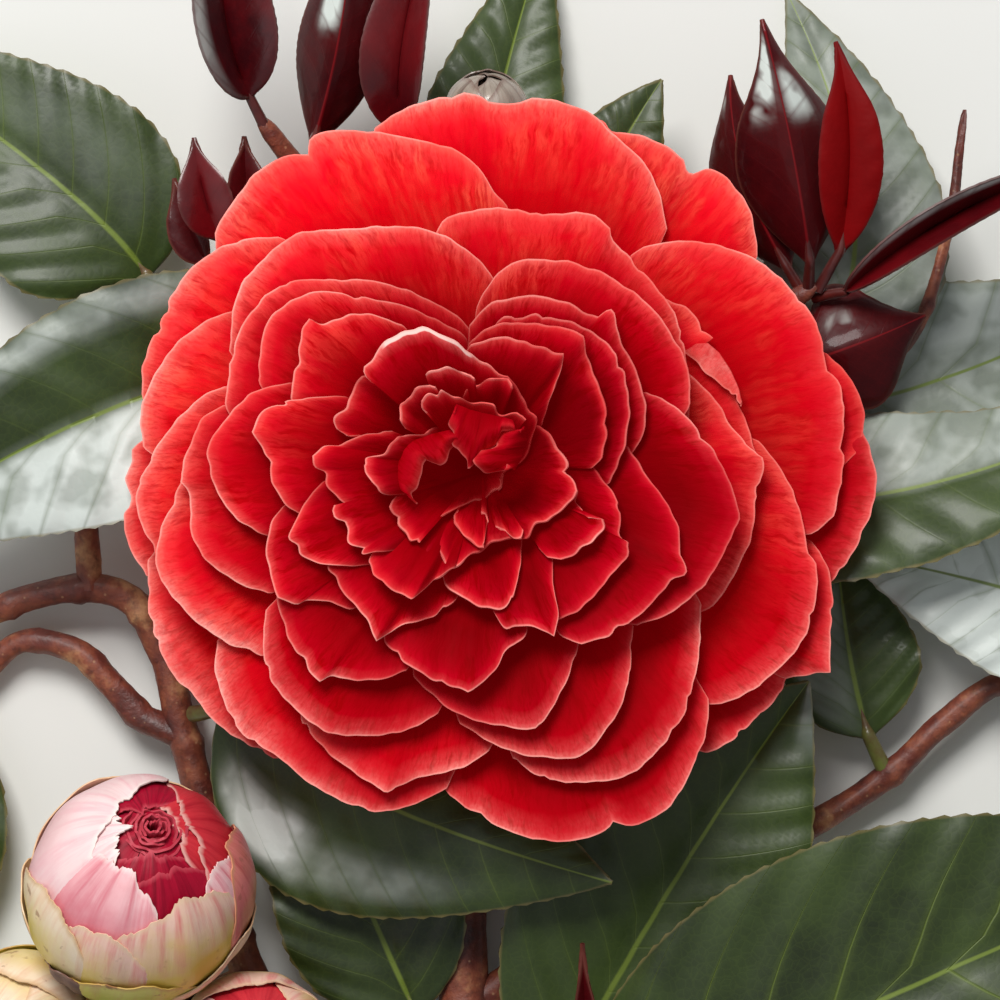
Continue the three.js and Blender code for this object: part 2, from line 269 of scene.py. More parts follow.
def plug(tree, shader, colour, roughness, height, depth_mm):
    """Plugs a colour, a roughness and a height pattern into the main shader."""
    tree.links.new(colour, shader.inputs["Base Color"])
    tree.links.new(roughness, shader.inputs["Roughness"])
    bump = node(tree, "Bump", {"Height": height, "Distance": depth_mm * MM, "Strength": 1.0})
    tree.links.new(bump.outputs[0], shader.inputs["Normal"])


floor_material, tree, shader = new_material("pale_floor", Roughness=0.9)
floor_colour = ramp(tree, noise(tree, surface_place(tree), 9.0),
                    [(0.3, ink(226, 226, 222)), (0.7, ink(231, 231, 228))])
tree.links.new(floor_colour, shader.inputs["Base Color"])
floor_mesh.materials.append(floor_material)
print("helpers and floor made")

# %% [markdown]
# ## Thin sheets
#
# A petal, a leaf blade and a bud scale are all the same thing to a modeller: a thin sheet, wider in
# one place than another, and bent. Each is made as a grid of points with rows from its base to its
# rim. A flat grid has no edge to catch the light, so the sheet is doubled: a lower face lies one
# thickness below the upper one, and a narrow strip joins them all round.

# %% A closed thin sheet from a grid of points
SHEET_SMOOTH_UP_TO = 50


def unit(vectors):
    """The vectors, each one unit long."""
    length = np.linalg.norm(vectors, axis=-1, keepdims=True)
    return vectors / np.maximum(length, 1e-9)


def grid_normals(grid):
    """The upward direction of a grid of points whose rows run outwards."""
    return unit(np.cross(np.gradient(grid, axis=0), np.gradient(grid, axis=1)))


def add_piece(name, mesh, materials, smooth_up_to):
    """A mesh as a piece of the spray: its finishes, and smooth shading up to an angle in degrees."""
    for material in materials:
        mesh.materials.append(material)
    mesh.polygons.foreach_set("use_smooth", np.ones(len(mesh.polygons), bool))
    mesh.set_sharp_from_angle(angle=math.radians(smooth_up_to))
    piece = add_object(name, mesh)
    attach(piece, "root")
    return piece


def sheet(name, grid, thickness, layers, materials):
    """A closed thin piece from a grid in spray millimetres: rows, then points across, then x, y, z.

    thickness is a number or a grid of numbers. layers names UV layers, each two grids of numbers.
    The first material goes on the upper face and the edge, the last one on the lower face."""
    rows, across = grid.shape[:2]
    half = grid_normals(grid) * (np.broadcast_to(thickness, (rows, across)) / 2)[..., None]
    points = np.concatenate([(grid + half).reshape(-1, 3), (grid - half).reshape(-1, 3)])
    corner = np.arange(rows * across).reshape(rows, across)
    upper = np.stack([corner[:-1, :-1], corner[1:, :-1], corner[1:, 1:], corner[:-1, 1:]], -1)
    upper = upper.reshape(-1, 4)
    lower = upper[:, ::-1] + rows * across
    rim = np.concatenate([corner[0, :], corner[1:, -1], corner[-1, -2::-1], corner[-2:0:-1, 0]])
    after = np.roll(rim, -1)
    strip = np.stack([rim, after, after + rows * across, rim + rows * across], -1)
    mesh = bpy.data.meshes.new(name)
    faces = np.concatenate([upper, strip, lower])
    mesh.from_pydata(to_frame(points).tolist(), [], faces.tolist())
    for layer, (first, second) in layers.items():
        values = np.stack([np.asarray(first, float).ravel(), np.asarray(second, float).ravel()], -1)
        values = np.concatenate([values, values])
        corners = np.empty(len(mesh.loops), np.int32)
        mesh.loops.foreach_get("vertex_index", corners)
        mesh.uv_layers.new(name=layer).uv.foreach_set("vector", values[corners].ravel())
    piece = add_piece(name, mesh, materials, SHEET_SMOOTH_UP_TO)
    if len(materials) > 1:
        slots = np.zeros(len(mesh.polygons), np.int32)
        slots[-len(lower):] = len(materials) - 1
        mesh.polygons.foreach_set("material_index", slots)
    mesh.update()
    return piece


def smooth_step(low, high, value):
    """0 below low, 1 above high, and a soft rise between them."""
    t = np.clip((np.asarray(value, float) - low) / (high - low), 0, 1)
    return t * t * (3 - 2 * t)


def through(points, steps):
    """A smooth curve through the points, with that many steps from one to the next."""
    points = np.asarray(points, float)
    padded = np.concatenate([[2 * points[0] - points[1]], points, [2 * points[-1] - points[-2]]])
    t = np.linspace(0, 1, steps, endpoint=False)[:, None]
    pieces = []
    for a, b, c, d in zip(padded, padded[1:], padded[2:], padded[3:]):
        pieces.append(b + (c - a) * t / 2 + (2 * a - 5 * b + 4 * c - d) * t**2 / 2
                      + (3 * b - a - 3 * c + d) * t**3 / 2)
    return np.concatenate(pieces + [points[-1:]])


def distance_along(line):
    """How far along a line each of its points lies."""
    return np.concatenate([[0], np.cumsum(np.linalg.norm(np.diff(line, axis=0), axis=1))])


def along(line, count):
    """The line read at evenly spaced places."""
    length = distance_along(line)
    places = np.linspace(0, length[-1], count)
    return np.stack([np.interp(places, length, line[:, k]) for k in range(line.shape[1])], axis=1)


print("sheet helpers ready, smooth up to", SHEET_SMOOTH_UP_TO, "degrees")

# %% [markdown]
# ## The petal's finish
#
# A camellia petal is velvety and nearly matt. Its red is darker towards its base, with painted shade
# where other petals lie over it, and lighter near its rim, and the rim itself is a thin pale line,
# partly its own colour and partly a painted highlight. Red light also passes through it, so its shade
# is never black: a weak red glow stands for that. Fine darker veins fan out to the rim. The sheet's UV
# layers say where on the petal a point is. `place` runs across the petal in millimetres and along it
# from 0 to 1. `rim` holds the distance to its rim in millimetres and its tone, painted light and shade
# that is darker towards the stem's end. `shade` holds the painted shade where other petals cover it,
# and gives each petal a number of its own. `band` says how pale its rim is, and how widely.

# %% Petal material
petal_finish, tree, shader = new_material("petal_velvet", Roughness=0.6, Specular_IOR_Level=0.012,
                                          Emission_Color=ink(150, 0, 6), Emission_Strength=0.2)
across_mm = uv(tree, "place")[0]
rim_mm, tone = uv(tree, "rim")
# the shade layer holds the painted shade from covering petals, hollows and named places, and each petal's
# number
painted_shade_amount, petal_number = uv(tree, "shade")
paleness, band_mm = uv(tree, "band")
here = surface_place(tree)
clouds = noise(tree, here, 120.0, 3.0, 0.55)
grain = noise(tree, here, 2400.0, 2.0, 0.6)
wander_mm = span(tree, noise(tree, here, 420.0, 2.0, 0.5), 0.3, 0.7, -0.3, 0.3)
fan = node(tree, "CombineXYZ", {0: math_node(tree, "ADD", across_mm, wander_mm),
                                1: times(tree, rim_mm, 0.22),
                                2: times(tree, petal_number, 7.3)}).outputs[0]
streaks = noise(tree, fan, 1.05, 3.0, 0.6)
mottles = noise(tree, fan, 0.7, 2.0, 0.5)
fine_streaks = noise(tree, fan, 3.4, 3.0, 0.6)
print("petal patterns: clouds, grain, mottles and two sizes of streaks")

# %% [markdown]
# ## The petal's reds
#
# The reds are a lit and a shaded copy of one red: two ramps from the rim inwards, scarlet and crimson
# to maroon, and the tone, painted light and shade over the bloom, picks between them. Over that come
# a warm glow near the rim, partly mottling and partly painted light, and the painted shade of
# covering petals. Each of these is one blend, so each can be tuned alone.

# %% Petal reds
from_rim = math_node(tree, "SUBTRACT", rim_mm, span(tree, clouds, 0.3, 0.7, 0.0, 0.6))
inward = math_node(tree, "DIVIDE", from_rim, span(tree, tone, 0.0, 0.75, 15.0, 6.0))
lit_red = ramp(tree, inward, [(0.0, ink(252, 82, 70)), (0.08, ink(250, 46, 52)), (0.22, ink(246, 8, 36)),
                              (0.5, ink(238, 0, 26)), (1.0, ink(216, 0, 18))])
# the deep red is a painted shaded copy of the lit red; the tone, painted light and shade over the bloom,
# picks between them
shaded_red = ramp(tree, inward, [(0.0, ink(204, 24, 42)), (0.08, ink(184, 2, 28)), (0.28, ink(160, 0, 18)),
                               (0.55, ink(138, 0, 10)), (1.0, ink(112, 0, 5))])
petal_red = blend(tree, tone, lit_red, shaded_red)
near_rim = ramp(tree, math_node(tree, "DIVIDE", rim_mm, 10.0), [
    (0.0, grey(0.3)), (0.1, grey(1)), (0.5, grey(0.6)), (1.0, grey(0.25))])
# warm orange near the rim, partly mottling and partly painted light: only on petals that the tone leaves lit
warm_mottle_and_light = times(tree, near_rim,
             span(tree, clouds, 0.44, 0.64, 0.12, 0.8),
             span(tree, tone, 0.12, 0.68, 0.95, 0.0),
             span(tree, mottles, 0.4, 0.6, 0.35, 1.35),
             span(tree, paleness, 0.5, 0.9, 1.05, 0.35))
petal_red = blend(tree, warm_mottle_and_light, petal_red, ink(255, 104, 78))
# painted shade: the petal darkens to a deep crimson where others cover it, in hollows and at named places
painted_shade_mix = times(tree, math_node(tree, "POWER", painted_shade_amount, 1.4), 0.74)
petal_red = blend(tree, painted_shade_mix, petal_red, ink(96, 0, 8))
print("petal reds made: a lit one, a deep one, and the shade of covered petals")

# %% [markdown]
# ## The petal's veins and rim
#
# The veins multiply the red under them, as a thin darker layer does, so they never turn grey. Behind
# the rim lies a pale band and on the rim itself a thin line, partly the rim's own paler colour and
# partly a painted highlight, and both fade in the painted shade where another petal covers them. A
# very pale rim is one that folds over and shows its underside: there the band ends sharply. The same
# clouds break up all of these, so light and dull stretches of one rim belong together.

# %% Petal veins, band and rim line
VEIN_RED = (0.7, 0.05, 0.17, 1)
EDGE_LINE_MM = 0.26
vein_patches = times(tree, near_rim, span(tree, clouds, 0.4, 0.6, 0.35, 1.0))
veined = petal_red
for pattern, thin, thick, strength in ((streaks, 0.5, 0.61, 0.95), (fine_streaks, 0.48, 0.64, 0.7)):
    mark = times(tree, span(tree, pattern, thin, thick), vein_patches, strength)
    veined = blend(tree, mark, veined, VEIN_RED, "MULTIPLY")
# the pale band and the rim line are partly the rim's own paler colour and partly a painted highlight
into_band = math_node(tree, "DIVIDE", rim_mm, band_mm)
band = ramp(tree, into_band, [(0.0, grey(0.72)), (0.1, grey(0.4)), (0.32, grey(0.13)), (1.0, grey(0))])
band = times(tree, band, math_node(tree, "MINIMUM", paleness, 0.9),
             span(tree, painted_shade_amount, 0.05, 0.8, 1.0, 0.1),
             span(tree, clouds, 0.38, 0.6, 0.35, 1.3),
             span(tree, grain, 0.3, 0.7, 0.7, 1.2),
             span(tree, fine_streaks, 0.4, 0.65, 1.1, 0.7))
pale_red = blend(tree, span(tree, paleness, 1.0, 1.5), ink(255, 164, 154), ink(255, 218, 206))
rimmed = blend(tree, band, veined, pale_red)
folded = times(tree, span(tree, into_band, 0.24, 0.3, 1.0, 0.0), span(tree, paleness, 1.35, 1.55))
rimmed = blend(tree, folded, rimmed, ink(255, 216, 206))
line = times(tree, span(tree, rim_mm, EDGE_LINE_MM * 0.35, EDGE_LINE_MM, 0.66, 0.0),
             span(tree, painted_shade_amount, 0.1, 0.9, 1.0, 0.35),
             span(tree, clouds, 0.35, 0.6, 0.4, 1.0),
             span(tree, paleness, 0.12, 0.6, 0.3, 1.0))
lined = blend(tree, line, rimmed, ink(255, 176, 164))
relief = math_node(tree, "ADD", times(tree, streaks, -0.8), times(tree, grain, 0.14))
plug(tree, shader, lined, span(tree, clouds, 0.3, 0.7, 0.52, 0.66), relief, 0.1)
print("petal finish made, its rim line is", EDGE_LINE_MM, "mm wide")

# %% [markdown]
# ## The bloom's shape
#
# The bloom is a dome of more than sixty petals, and nearly all of them start from one small base
# above the calyx. The lowest ones lie flat and reach furthest; each further layer is shorter and
# stands more upright. So that no two petals cut through each other, they share one family of bowls.
# A petal's layer number picks its bowl: how far such a petal reaches, how high its rim stands and
# where it starts. A higher layer lies above a lower one everywhere.

# %% The family of bowls
LAYERS = (0, 2, 4, 6, 8, 10, 12, 14, 16, 18, 20, 22)
LAYER_REACH = (46.5, 45, 43, 39.5, 35.5, 31.5, 27, 22.5, 18, 13.5, 9.5, 6)
LAYER_RIM = (27.2, 28.9, 31, 33.2, 35.6, 37.8, 39.7, 41.3, 42.5, 43.3, 43.8, 44.2)
LOWEST_BASE = 14.6
BASE_STEP = 0.34
DISH_CURVE = 1.35
DOME_CURVE = 1.7
UPRIGHT_LAYERS = (-2, 9)
RIM_DROOP = 1.3
DROOP_NORTH = 0.8
DROOP_FROM = 0.72
DROOP_LAYERS = (9, 16)
BLOOM_MIDDLE = ((0.0, 4.0), (-2.2, 3.8))
INNER_LAYER = 11.0


def bloom_middle(layer):
    """The middle about which a layer's bowl is round: the heart sits a little left of the rest."""
    inner = min(layer / INNER_LAYER, 1)
    return np.array([(1 - inner) * a + inner * b for a, b in zip(*BLOOM_MIDDLE)])


def bowl_height(offset, layer):
    """The height of a layer's bowl at a place given by its offset from the bloom's middle."""
    distance = np.linalg.norm(offset, axis=-1)
    north = offset[..., 1] / np.maximum(distance, 1e-6)
    reach = np.interp(layer, LAYERS, LAYER_REACH)
    rim = np.interp(layer, LAYERS, LAYER_RIM)
    base = LOWEST_BASE + BASE_STEP * layer
    part = np.clip(distance / reach, 0, 1.4)
    flat_dish = part ** DISH_CURVE
    dome = np.where(part < 1, 1 - np.abs(1 - part) ** DOME_CURVE, 1 + 0.15 * (part - 1))
    upright = smooth_step(*UPRIGHT_LAYERS, layer)
    rise = (rim - base) * ((1 - upright) * flat_dish + upright * dome)
    over_the_rim = np.clip((part - DROOP_FROM) / (1 - DROOP_FROM), 0, 1.3) ** 2
    over_the_rim = over_the_rim * (1 - smooth_step(*DROOP_LAYERS, layer))
    return base + rise - RIM_DROOP * (1 + DROOP_NORTH * north) * over_the_rim


for layer in (0, 5, 10, 15, 20):
    reach = np.interp(layer, LAYERS, LAYER_REACH)
    print("layer", layer, "reaches", round(float(reach), 1), "mm, its rim stands at",
          round(float(bowl_height(np.array([reach, 0.0]), layer)), 1), "mm")

# %% [markdown]
# ## One petal
#
# A petal fans out from its narrow base to its rim, and its veins fan out with it. So the rim is all
# that needs drawing. It is given as one or more strokes in the photograph. Each starts where the one
# before it ends, and there the rim has a point or a notch. The strokes end where another petal covers
# them, so the rim is carried on a little further under that neighbour. Straight lines from the base
# to each place on the rim then make the sheet, and the layer's bowl lifts it. Last come the soft
# waves, the crease that runs to each point or notch, and the thin lip that turns over at the edge.

# %% Make a petal from its rim
PETAL_COLUMNS = 76
PETAL_ROWS = 18
ROW_SPREAD = 1.75
CLAW_PART = 0.07
CLAW_LAYERS = (10, 16)
CLAW_REACH = (3.0, -0.7)
TUCK_ANGLES = (35, 75)
WAVES_FROM = 0.35
FRAY_MM = 8
CREASE_HEIGHT = 0.45
CREASE_WIDTH = 0.05
LIP_WIDTH = 0.9
LIP_DROP = 0.1


def tucked(line, inward, tuck):
    """A line whose end is carried on, turning inwards under its neighbour."""
    ahead = unit(line[-1] - line[-3])
    aside = inward - ahead * inward.dot(ahead)
    aside = aside / max(np.linalg.norm(aside), 1e-6)
    for angle in TUCK_ANGLES:
        turn = math.radians(angle)
        onward = math.cos(turn) * ahead + math.sin(turn) * aside
        line = np.concatenate([line, [line[-1] + tuck / 2 * onward]])
    return line


def rim_line(strokes, layer, middle, tuck):
    """The petal's rim as points, and where along it its corners are, from 0 to 1."""
    joined = [strokes[0]] + [before[-1:] + after for before, after in zip(strokes, strokes[1:])]
    flat = []
    for stroke in joined:
        line = through(stroke, 8)
        height = bowl_height(np.array([30.0, 0.0]), layer)
        for _ in range(3):
            points = spot(line, height)
            height = bowl_height(points[:, :2] - middle, layer)
        flat.append(points[:, :2])
    ends = np.concatenate([flat[0][:1], flat[-1][-1:]])
    centre = middle + (ends.mean(axis=0) - middle) * 0.1
    flat[-1] = tucked(flat[-1], unit(centre - flat[-1][-1]), tuck)
    flat[0] = tucked(flat[0][::-1], unit(centre - flat[0][0]), tuck)[::-1]
    lengths = [distance_along(line)[-1] for line in flat]
    counts = [max(5, round(PETAL_COLUMNS * length / sum(lengths))) for length in lengths]
    parts = [along(line, count + 1) for line, count in zip(flat, counts)]
    rim = np.concatenate([part[:-1] for part in parts] + [parts[-1][-1:]])
    corners = [sum(counts[:k + 1]) / sum(counts) for k in range(len(counts) - 1)]
    return rim, corners


def waves(dice, across, count, size):
    """A few soft sine waves along a rim."""
    total = np.zeros_like(across)
    for k in range(1, count + 1):
        total += dice.uniform(0.4, 1) / k**0.5 * np.sin(2 * np.pi * (k * 0.9 * across + dice.random()))
    return size * total


def nicks(dice, across_mm):
    """Small tears in a rim: each one cuts in a little, over less than a millimetre."""
    depth = np.zeros_like(across_mm)
    for _ in range(dice.randint(1, 4)):
        place = dice.uniform(0, across_mm[-1])
        deep = dice.uniform(0.15, 0.5)
        wide = dice.uniform(0.35, 0.9)
        depth -= deep * np.exp(-((across_mm - place) / wide) ** 2)
    return depth


def shape_petal(name, layer, strokes, tuck, ruffle, ragged=0.09, root=None, bend=None):
    """The grid of points of one petal, and what the finish needs to know of each point.

    tuck is how far it runs on under its neighbours, ruffle the height of its waves and ragged how
    uneven its rim is, in millimetres. A petal with a root line of its own starts there. bend gives
    its height at the root and at the rim, and its arch."""
    dice = random.Random(name)
    middle = bloom_middle(layer)
    rim, corners = rim_line(strokes, layer, middle, tuck)
    angle = np.unwrap(np.arctan2(rim[:, 1] - middle[1], rim[:, 0] - middle[0]))
    if root is not None:
        foot = bend[0] if bend else bowl_height(spot(root, 0)[:, :2] - middle, layer)
        root = along(spot(root, foot)[:, :2], len(rim))
    elif angle[-1] < angle[0]:
        rim, corners = rim[::-1], [1 - corner for corner in corners]
    claw = root
    if root is None:
        claw = middle + unit(rim[len(rim) // 2] - middle) * np.interp(layer, CLAW_LAYERS, CLAW_REACH)
    across = np.linspace(0, 1, len(rim))
    width = distance_along(rim)[-1]
    frayed = waves(dice, across * width / FRAY_MM, 4, ragged) + nicks(dice, across * width)
    rim = rim + unit(rim - claw) * frayed[:, None]
    inset = np.linspace(1, 0, PETAL_ROWS) ** ROW_SPREAD * (1 - CLAW_PART)
    outward = (1 - inset)[:, None]
    flat = claw + (rim - claw)[None] * outward[..., None]
    edge_mm = np.linalg.norm(rim - claw, axis=1)[None] * inset[:, None]
    height = bowl_height(flat - middle, layer)
    if bend is not None:
        bent = bend[0] + (bend[1] - bend[0]) * outward + bend[2] * np.sin(np.pi * outward)
        height = np.broadcast_to(bent, height.shape)
    free = smooth_step(WAVES_FROM, 1.0, outward)
    height = height + free * waves(dice, across, 4, ruffle)[None]
    reach = np.linalg.norm(rim - middle, axis=1)
    for corner in corners:
        near = min(max(int(round(corner * (len(rim) - 1))), 4), len(rim) - 5)
        crease = np.exp(-((across - across[near]) / CREASE_WIDTH) ** 2)
        pointed = 1 if reach[near] > (reach[near - 3] + reach[near + 3]) / 2 else -1
        height = height + pointed * CREASE_HEIGHT * free * crease[None]
    height = height - LIP_DROP * np.clip(1 - edge_mm / LIP_WIDTH, 0, 1) ** 2
    grid = np.concatenate([flat, height[..., None]], axis=2)
    return {"name": name, "layer": layer, "grid": grid, "edge_mm": edge_mm, "outward": outward,
            "across_mm": across * width}


PETAL_SHAPES = []


def add_petals(kind, table, **how):
    """Shapes a table of petals: for each its layer and the strokes of its rim, in pixels."""
    for number, (layer, strokes) in enumerate(table, start=1):
        PETAL_SHAPES.append(shape_petal(f"{kind}_petal_{number:02d}", layer, strokes, **how))
    print(kind, "petals:", len(table))


print("each petal has", PETAL_ROWS, "rows of about", PETAL_COLUMNS, "points")

# %% [markdown]
# ## The outer petals
#
# Eighteen broad petals make the rim of the bloom. Their strokes are read off the photograph, and
# their layers follow from which of them covers which. Most show a wide face, and some are notched.
# Copies of one petal turned round the middle would be quicker, but no two of these are alike.

# %% Outer petals
OUTER_PETALS = [
    # left, under all others
    (0.0, [[(124, 478), (131, 498), (123, 519), (131, 549), (146, 575)]]),
    # top right, notched, behind
    (0.3, [[(604, 122), (613, 131), (636, 134), (661, 144), (684, 159)],
           [(692, 173), (712, 169), (733, 185), (750, 210), (758, 256)]]),
    # right
    (0.5, [[(856, 410), (863, 432), (873, 458), (876, 488), (865, 529), (845, 565), (830, 583)]]),
    (1.0, [[(812, 542), (827, 565), (832, 590), (831, 630), (830, 672)],
           [(814, 674), (786, 679)]]),
    (0.6, [[(806, 664), (786, 679), (781, 692), (763, 713), (728, 743), (707, 753)]]),
    (1.2, [[(824, 353), (845, 371), (860, 396), (864, 424), (860, 450)]]),
    # top, notched
    (1.5, [[(375, 128), (406, 108), (452, 94), (475, 94), (488, 101)],
           [(516, 103), (534, 98), (559, 101), (590, 113), (613, 134), (641, 159), (659, 192),
            (667, 228)]]),
    # lower left
    (1.3, [[(148, 560), (147, 600), (154, 636), (171, 672), (194, 695), (210, 718), (238, 738), (273, 759)]]),
    # top left, notched
    (2.4, [[(215, 248), (216, 232), (222, 218), (240, 192), (258, 172), (284, 156), (308, 154)],
           [(314, 136), (345, 130), (406, 137), (452, 149), (478, 167), (493, 190), (508, 208)]]),
    # right, the widest
    (2.7, [[(633, 253), (656, 243), (702, 242), (743, 253), (784, 281), (814, 320), (824, 350), (827, 371)],
           [(840, 386), (845, 427), (842, 478), (835, 514)]]),
    # left
    (3.2, [[(141, 396), (143, 366), (156, 330), (176, 289), (202, 259), (238, 241), (279, 236)]]),
    # lower right
    (3.7, [[(758, 440), (784, 473), (801, 514), (809, 554)],
           [(817, 570), (814, 611), (799, 646), (773, 674), (743, 695), (710, 708)]]),
    # bottom, notched
    (4.3, [[(447, 794), (478, 815), (518, 835), (559, 841), (590, 838), (610, 827)],
           [(614, 822), (636, 825), (666, 810), (687, 779), (705, 738), (709, 700)]]),
    (4.8, [[(217, 641), (216, 672), (228, 713), (248, 738), (276, 756), (299, 774), (324, 792), (355, 807),
            (386, 811), (416, 804), (447, 787)]]),
    (4.2, [[(143, 447), (141, 417), (151, 381), (176, 345), (207, 320), (238, 310)]]),
    # right, torn inside the widest
    (4.0, [[(666, 298), (680, 302), (694, 315), (705, 330), (713, 338)],
           [(706, 343), (696, 351), (706, 356), (718, 368), (729, 384), (738, 402), (748, 428),
            (756, 452)]]),
    # left
    (5.2, [[(156, 554), (141, 524), (135, 498), (141, 478), (156, 447), (176, 422), (202, 396), (225, 386)]]),
    (6.2, [[(184, 478), (166, 514), (157, 549), (159, 575), (176, 600), (202, 626), (233, 646), (263, 656)]]),
]
add_petals("outer", OUTER_PETALS, tuck=7, ruffle=0.32)
# where the torn petal folds, and the torn edge of the flap that shows its pale underside
FOLD_LINE = [(697, 343), (709, 342), (721, 352), (732, 370), (739, 387), (742, 402)]
TORN_EDGE = [(685, 352), (697, 362), (708, 374), (720, 385), (732, 395), (741, 404)]
PETAL_SHAPES.append(shape_petal("torn_flap", 4.6, [TORN_EDGE], tuck=0.2, ruffle=0.15, ragged=0.12,
                                root=FOLD_LINE))

# %% [markdown]
# ## The middle petals
#
# The next petals stand a little steeper, and of most of them only a strip below the rim shows. The
# nested arcs at the top left and top right are what makes the bloom look full, so each has its own
# stroke. Where one ends under another, the stroke simply stops there.

# %% Middle petals
MIDDLE_PETALS = [
    # right
    (5.6, [[(684, 368), (712, 396), (733, 427), (758, 455)],
           [(763, 462), (758, 503), (745, 554), (722, 595), (702, 613)]]),
    # below
    (6.4, [[(301, 723), (324, 748), (355, 774), (384, 792)],
           [(390, 791), (416, 779), (457, 769), (488, 753)]]),
    (6.0, [[(702, 605), (697, 667), (682, 718), (656, 753), (625, 776), (580, 783), (539, 776), (513, 759)]]),
    # top, the broad one and its right side
    (7.2, [[(437, 230), (447, 218), (478, 209), (529, 210), (559, 214), (590, 214), (610, 228)],
           [(615, 243), (641, 269), (666, 299), (682, 335), (689, 376), (689, 422)]]),
    # top left
    (8.1, [[(230, 350), (233, 310), (243, 284), (263, 259), (289, 238), (319, 230), (365, 228), (406, 226),
            (437, 233), (472, 253), (493, 276)]]),
    # left
    (8.5, [[(225, 405), (202, 420), (184, 460), (181, 482)],
           [(189, 492), (192, 534), (212, 565), (243, 585), (271, 593)]]),
    # below
    (7.7, [[(633, 626), (631, 667), (620, 708), (600, 738), (577, 757), (529, 756), (488, 741), (460, 723)]]),
    (8.6, [[(266, 611), (263, 651), (273, 682), (299, 713), (330, 732), (375, 736), (411, 728), (437, 715)]]),
    (9.3, [[(582, 616), (577, 651), (559, 697), (536, 730)],
           [(493, 725), (452, 710), (426, 690), (414, 677)]]),
    # top right
    (9.0, [[(475, 333), (478, 304), (493, 279), (518, 261), (559, 260), (600, 271), (636, 294), (666, 325),
            (687, 366), (691, 406)]]),
    # left
    (9.4, [[(225, 406), (230, 366), (238, 335), (253, 310), (284, 284), (324, 279), (375, 281), (416, 294),
            (457, 315), (470, 330)]]),
    (10.3, [[(258, 381), (261, 345), (273, 315), (299, 297), (324, 292), (375, 299), (416, 310), (457, 330),
             (467, 340)]]),
    (11.0, [[(289, 381), (248, 396), (220, 427), (208, 452), (215, 488), (238, 519), (266, 537)]]),
    # right
    (10.0, [[(647, 392), (674, 405), (696, 428), (719, 459), (735, 498), (739, 520), (722, 555), (703, 587),
             (671, 612), (639, 627)]]),
    (11.6, [[(629, 447), (649, 479), (668, 504), (679, 530), (680, 555)],
            [(687, 573), (671, 581), (649, 606), (617, 632), (582, 644)]]),
    # top right
    (11.0, [[(470, 325), (486, 306), (505, 299), (537, 296), (569, 303), (598, 317)],
            [(613, 310), (620, 338), (633, 364), (645, 399), (645, 428), (633, 453)]]),
    # lower left
    (11.0, [[(277, 597), (282, 616), (291, 644), (307, 667), (320, 681)],
            [(333, 676), (355, 681), (384, 678), (406, 671)]]),
    (12.2, [[(283, 506), (272, 523), (266, 552), (272, 581), (279, 597)],
            [(295, 604), (307, 600), (326, 603), (352, 609)]]),
]
add_petals("middle", MIDDLE_PETALS, tuck=5, ruffle=0.3)

# %% [markdown]
# ## The inner petals
#
# Nearer to the heart the petals are small, stand up and have points and folds. They are drawn in the
# same way, but with a more ragged rim and a shorter hidden end.

# %% Inner petals
INNER_PETALS = [
    (12.2, [[(291, 397), (293, 373), (298, 354), (303, 332), (309, 319)],
            [(320, 324), (336, 319), (352, 314), (378, 316), (403, 325)]]),
    (13.2, [[(346, 397), (314, 397), (282, 402), (260, 415), (252, 432)],
            [(263, 450), (272, 475), (274, 485), (285, 504), (299, 514)]]),
    (12.4, [[(505, 316), (537, 314), (569, 321), (594, 333), (617, 353)],
            [(625, 376), (629, 405), (628, 434), (620, 459), (610, 482)]]),
    (13.5, [[(470, 341), (486, 329), (511, 322), (543, 324), (569, 329), (583, 337)],
            [(588, 357), (598, 383), (605, 408), (607, 434), (602, 459)]]),
    (14.8, [[(470, 345), (492, 338), (520, 340), (547, 348), (564, 353)],
            [(559, 376), (550, 399), (543, 424)]]),
    (12.4, [[(384, 643), (397, 657), (422, 673), (448, 686), (468, 692)],
            [(486, 679), (502, 660), (521, 641), (527, 632)]]),
    (13.8, [[(494, 612), (505, 628), (515, 628), (531, 627), (547, 632), (554, 636)],
            [(558, 612), (553, 581), (553, 549), (554, 526)]]),
    (13.2, [[(569, 437), (588, 459), (607, 485), (621, 510), (620, 536), (633, 545)],
            [(623, 561), (607, 581), (588, 603), (559, 620)]]),
    (13.6, [[(328, 568), (342, 590), (358, 609), (371, 628), (376, 641)],
            [(390, 632), (403, 625), (429, 619), (457, 600)]]),
    (14.2, [[(322, 482), (304, 504), (291, 530), (290, 542), (301, 555), (326, 565), (368, 565)]]),
    (14.4, [[(336, 428), (334, 418), (346, 405), (352, 389), (362, 376)],
            [(378, 372), (390, 378), (416, 383)]]),
    (15.4, [[(390, 431), (378, 432), (358, 437), (339, 445), (323, 447), (312, 456)],
            [(315, 466), (326, 472), (326, 483), (333, 494), (349, 506), (362, 510),
             (387, 510)]]),
    (14.9, [[(443, 584), (460, 597), (480, 606), (502, 609), (511, 603)],
            [(518, 581), (521, 555), (523, 530), (531, 510)]]),
    (14.8, [[(577, 491), (580, 507), (588, 517), (604, 520)],
            [(604, 530), (588, 545), (562, 560)]]),
]
add_petals("inner", INNER_PETALS, tuck=3, ruffle=0.45, ragged=0.11)

# %% [markdown]
# ## The heart
#
# The innermost petals never opened fully. One of them stands over the heart like a hood, with its
# folded rim in the light. The small ones inside it bend inwards over the dark middle, so their rims
# point the other way. These can't start at the bloom's middle as the rest do. Each has a line that
# it starts from instead, and an arch of its own from there to its rim.

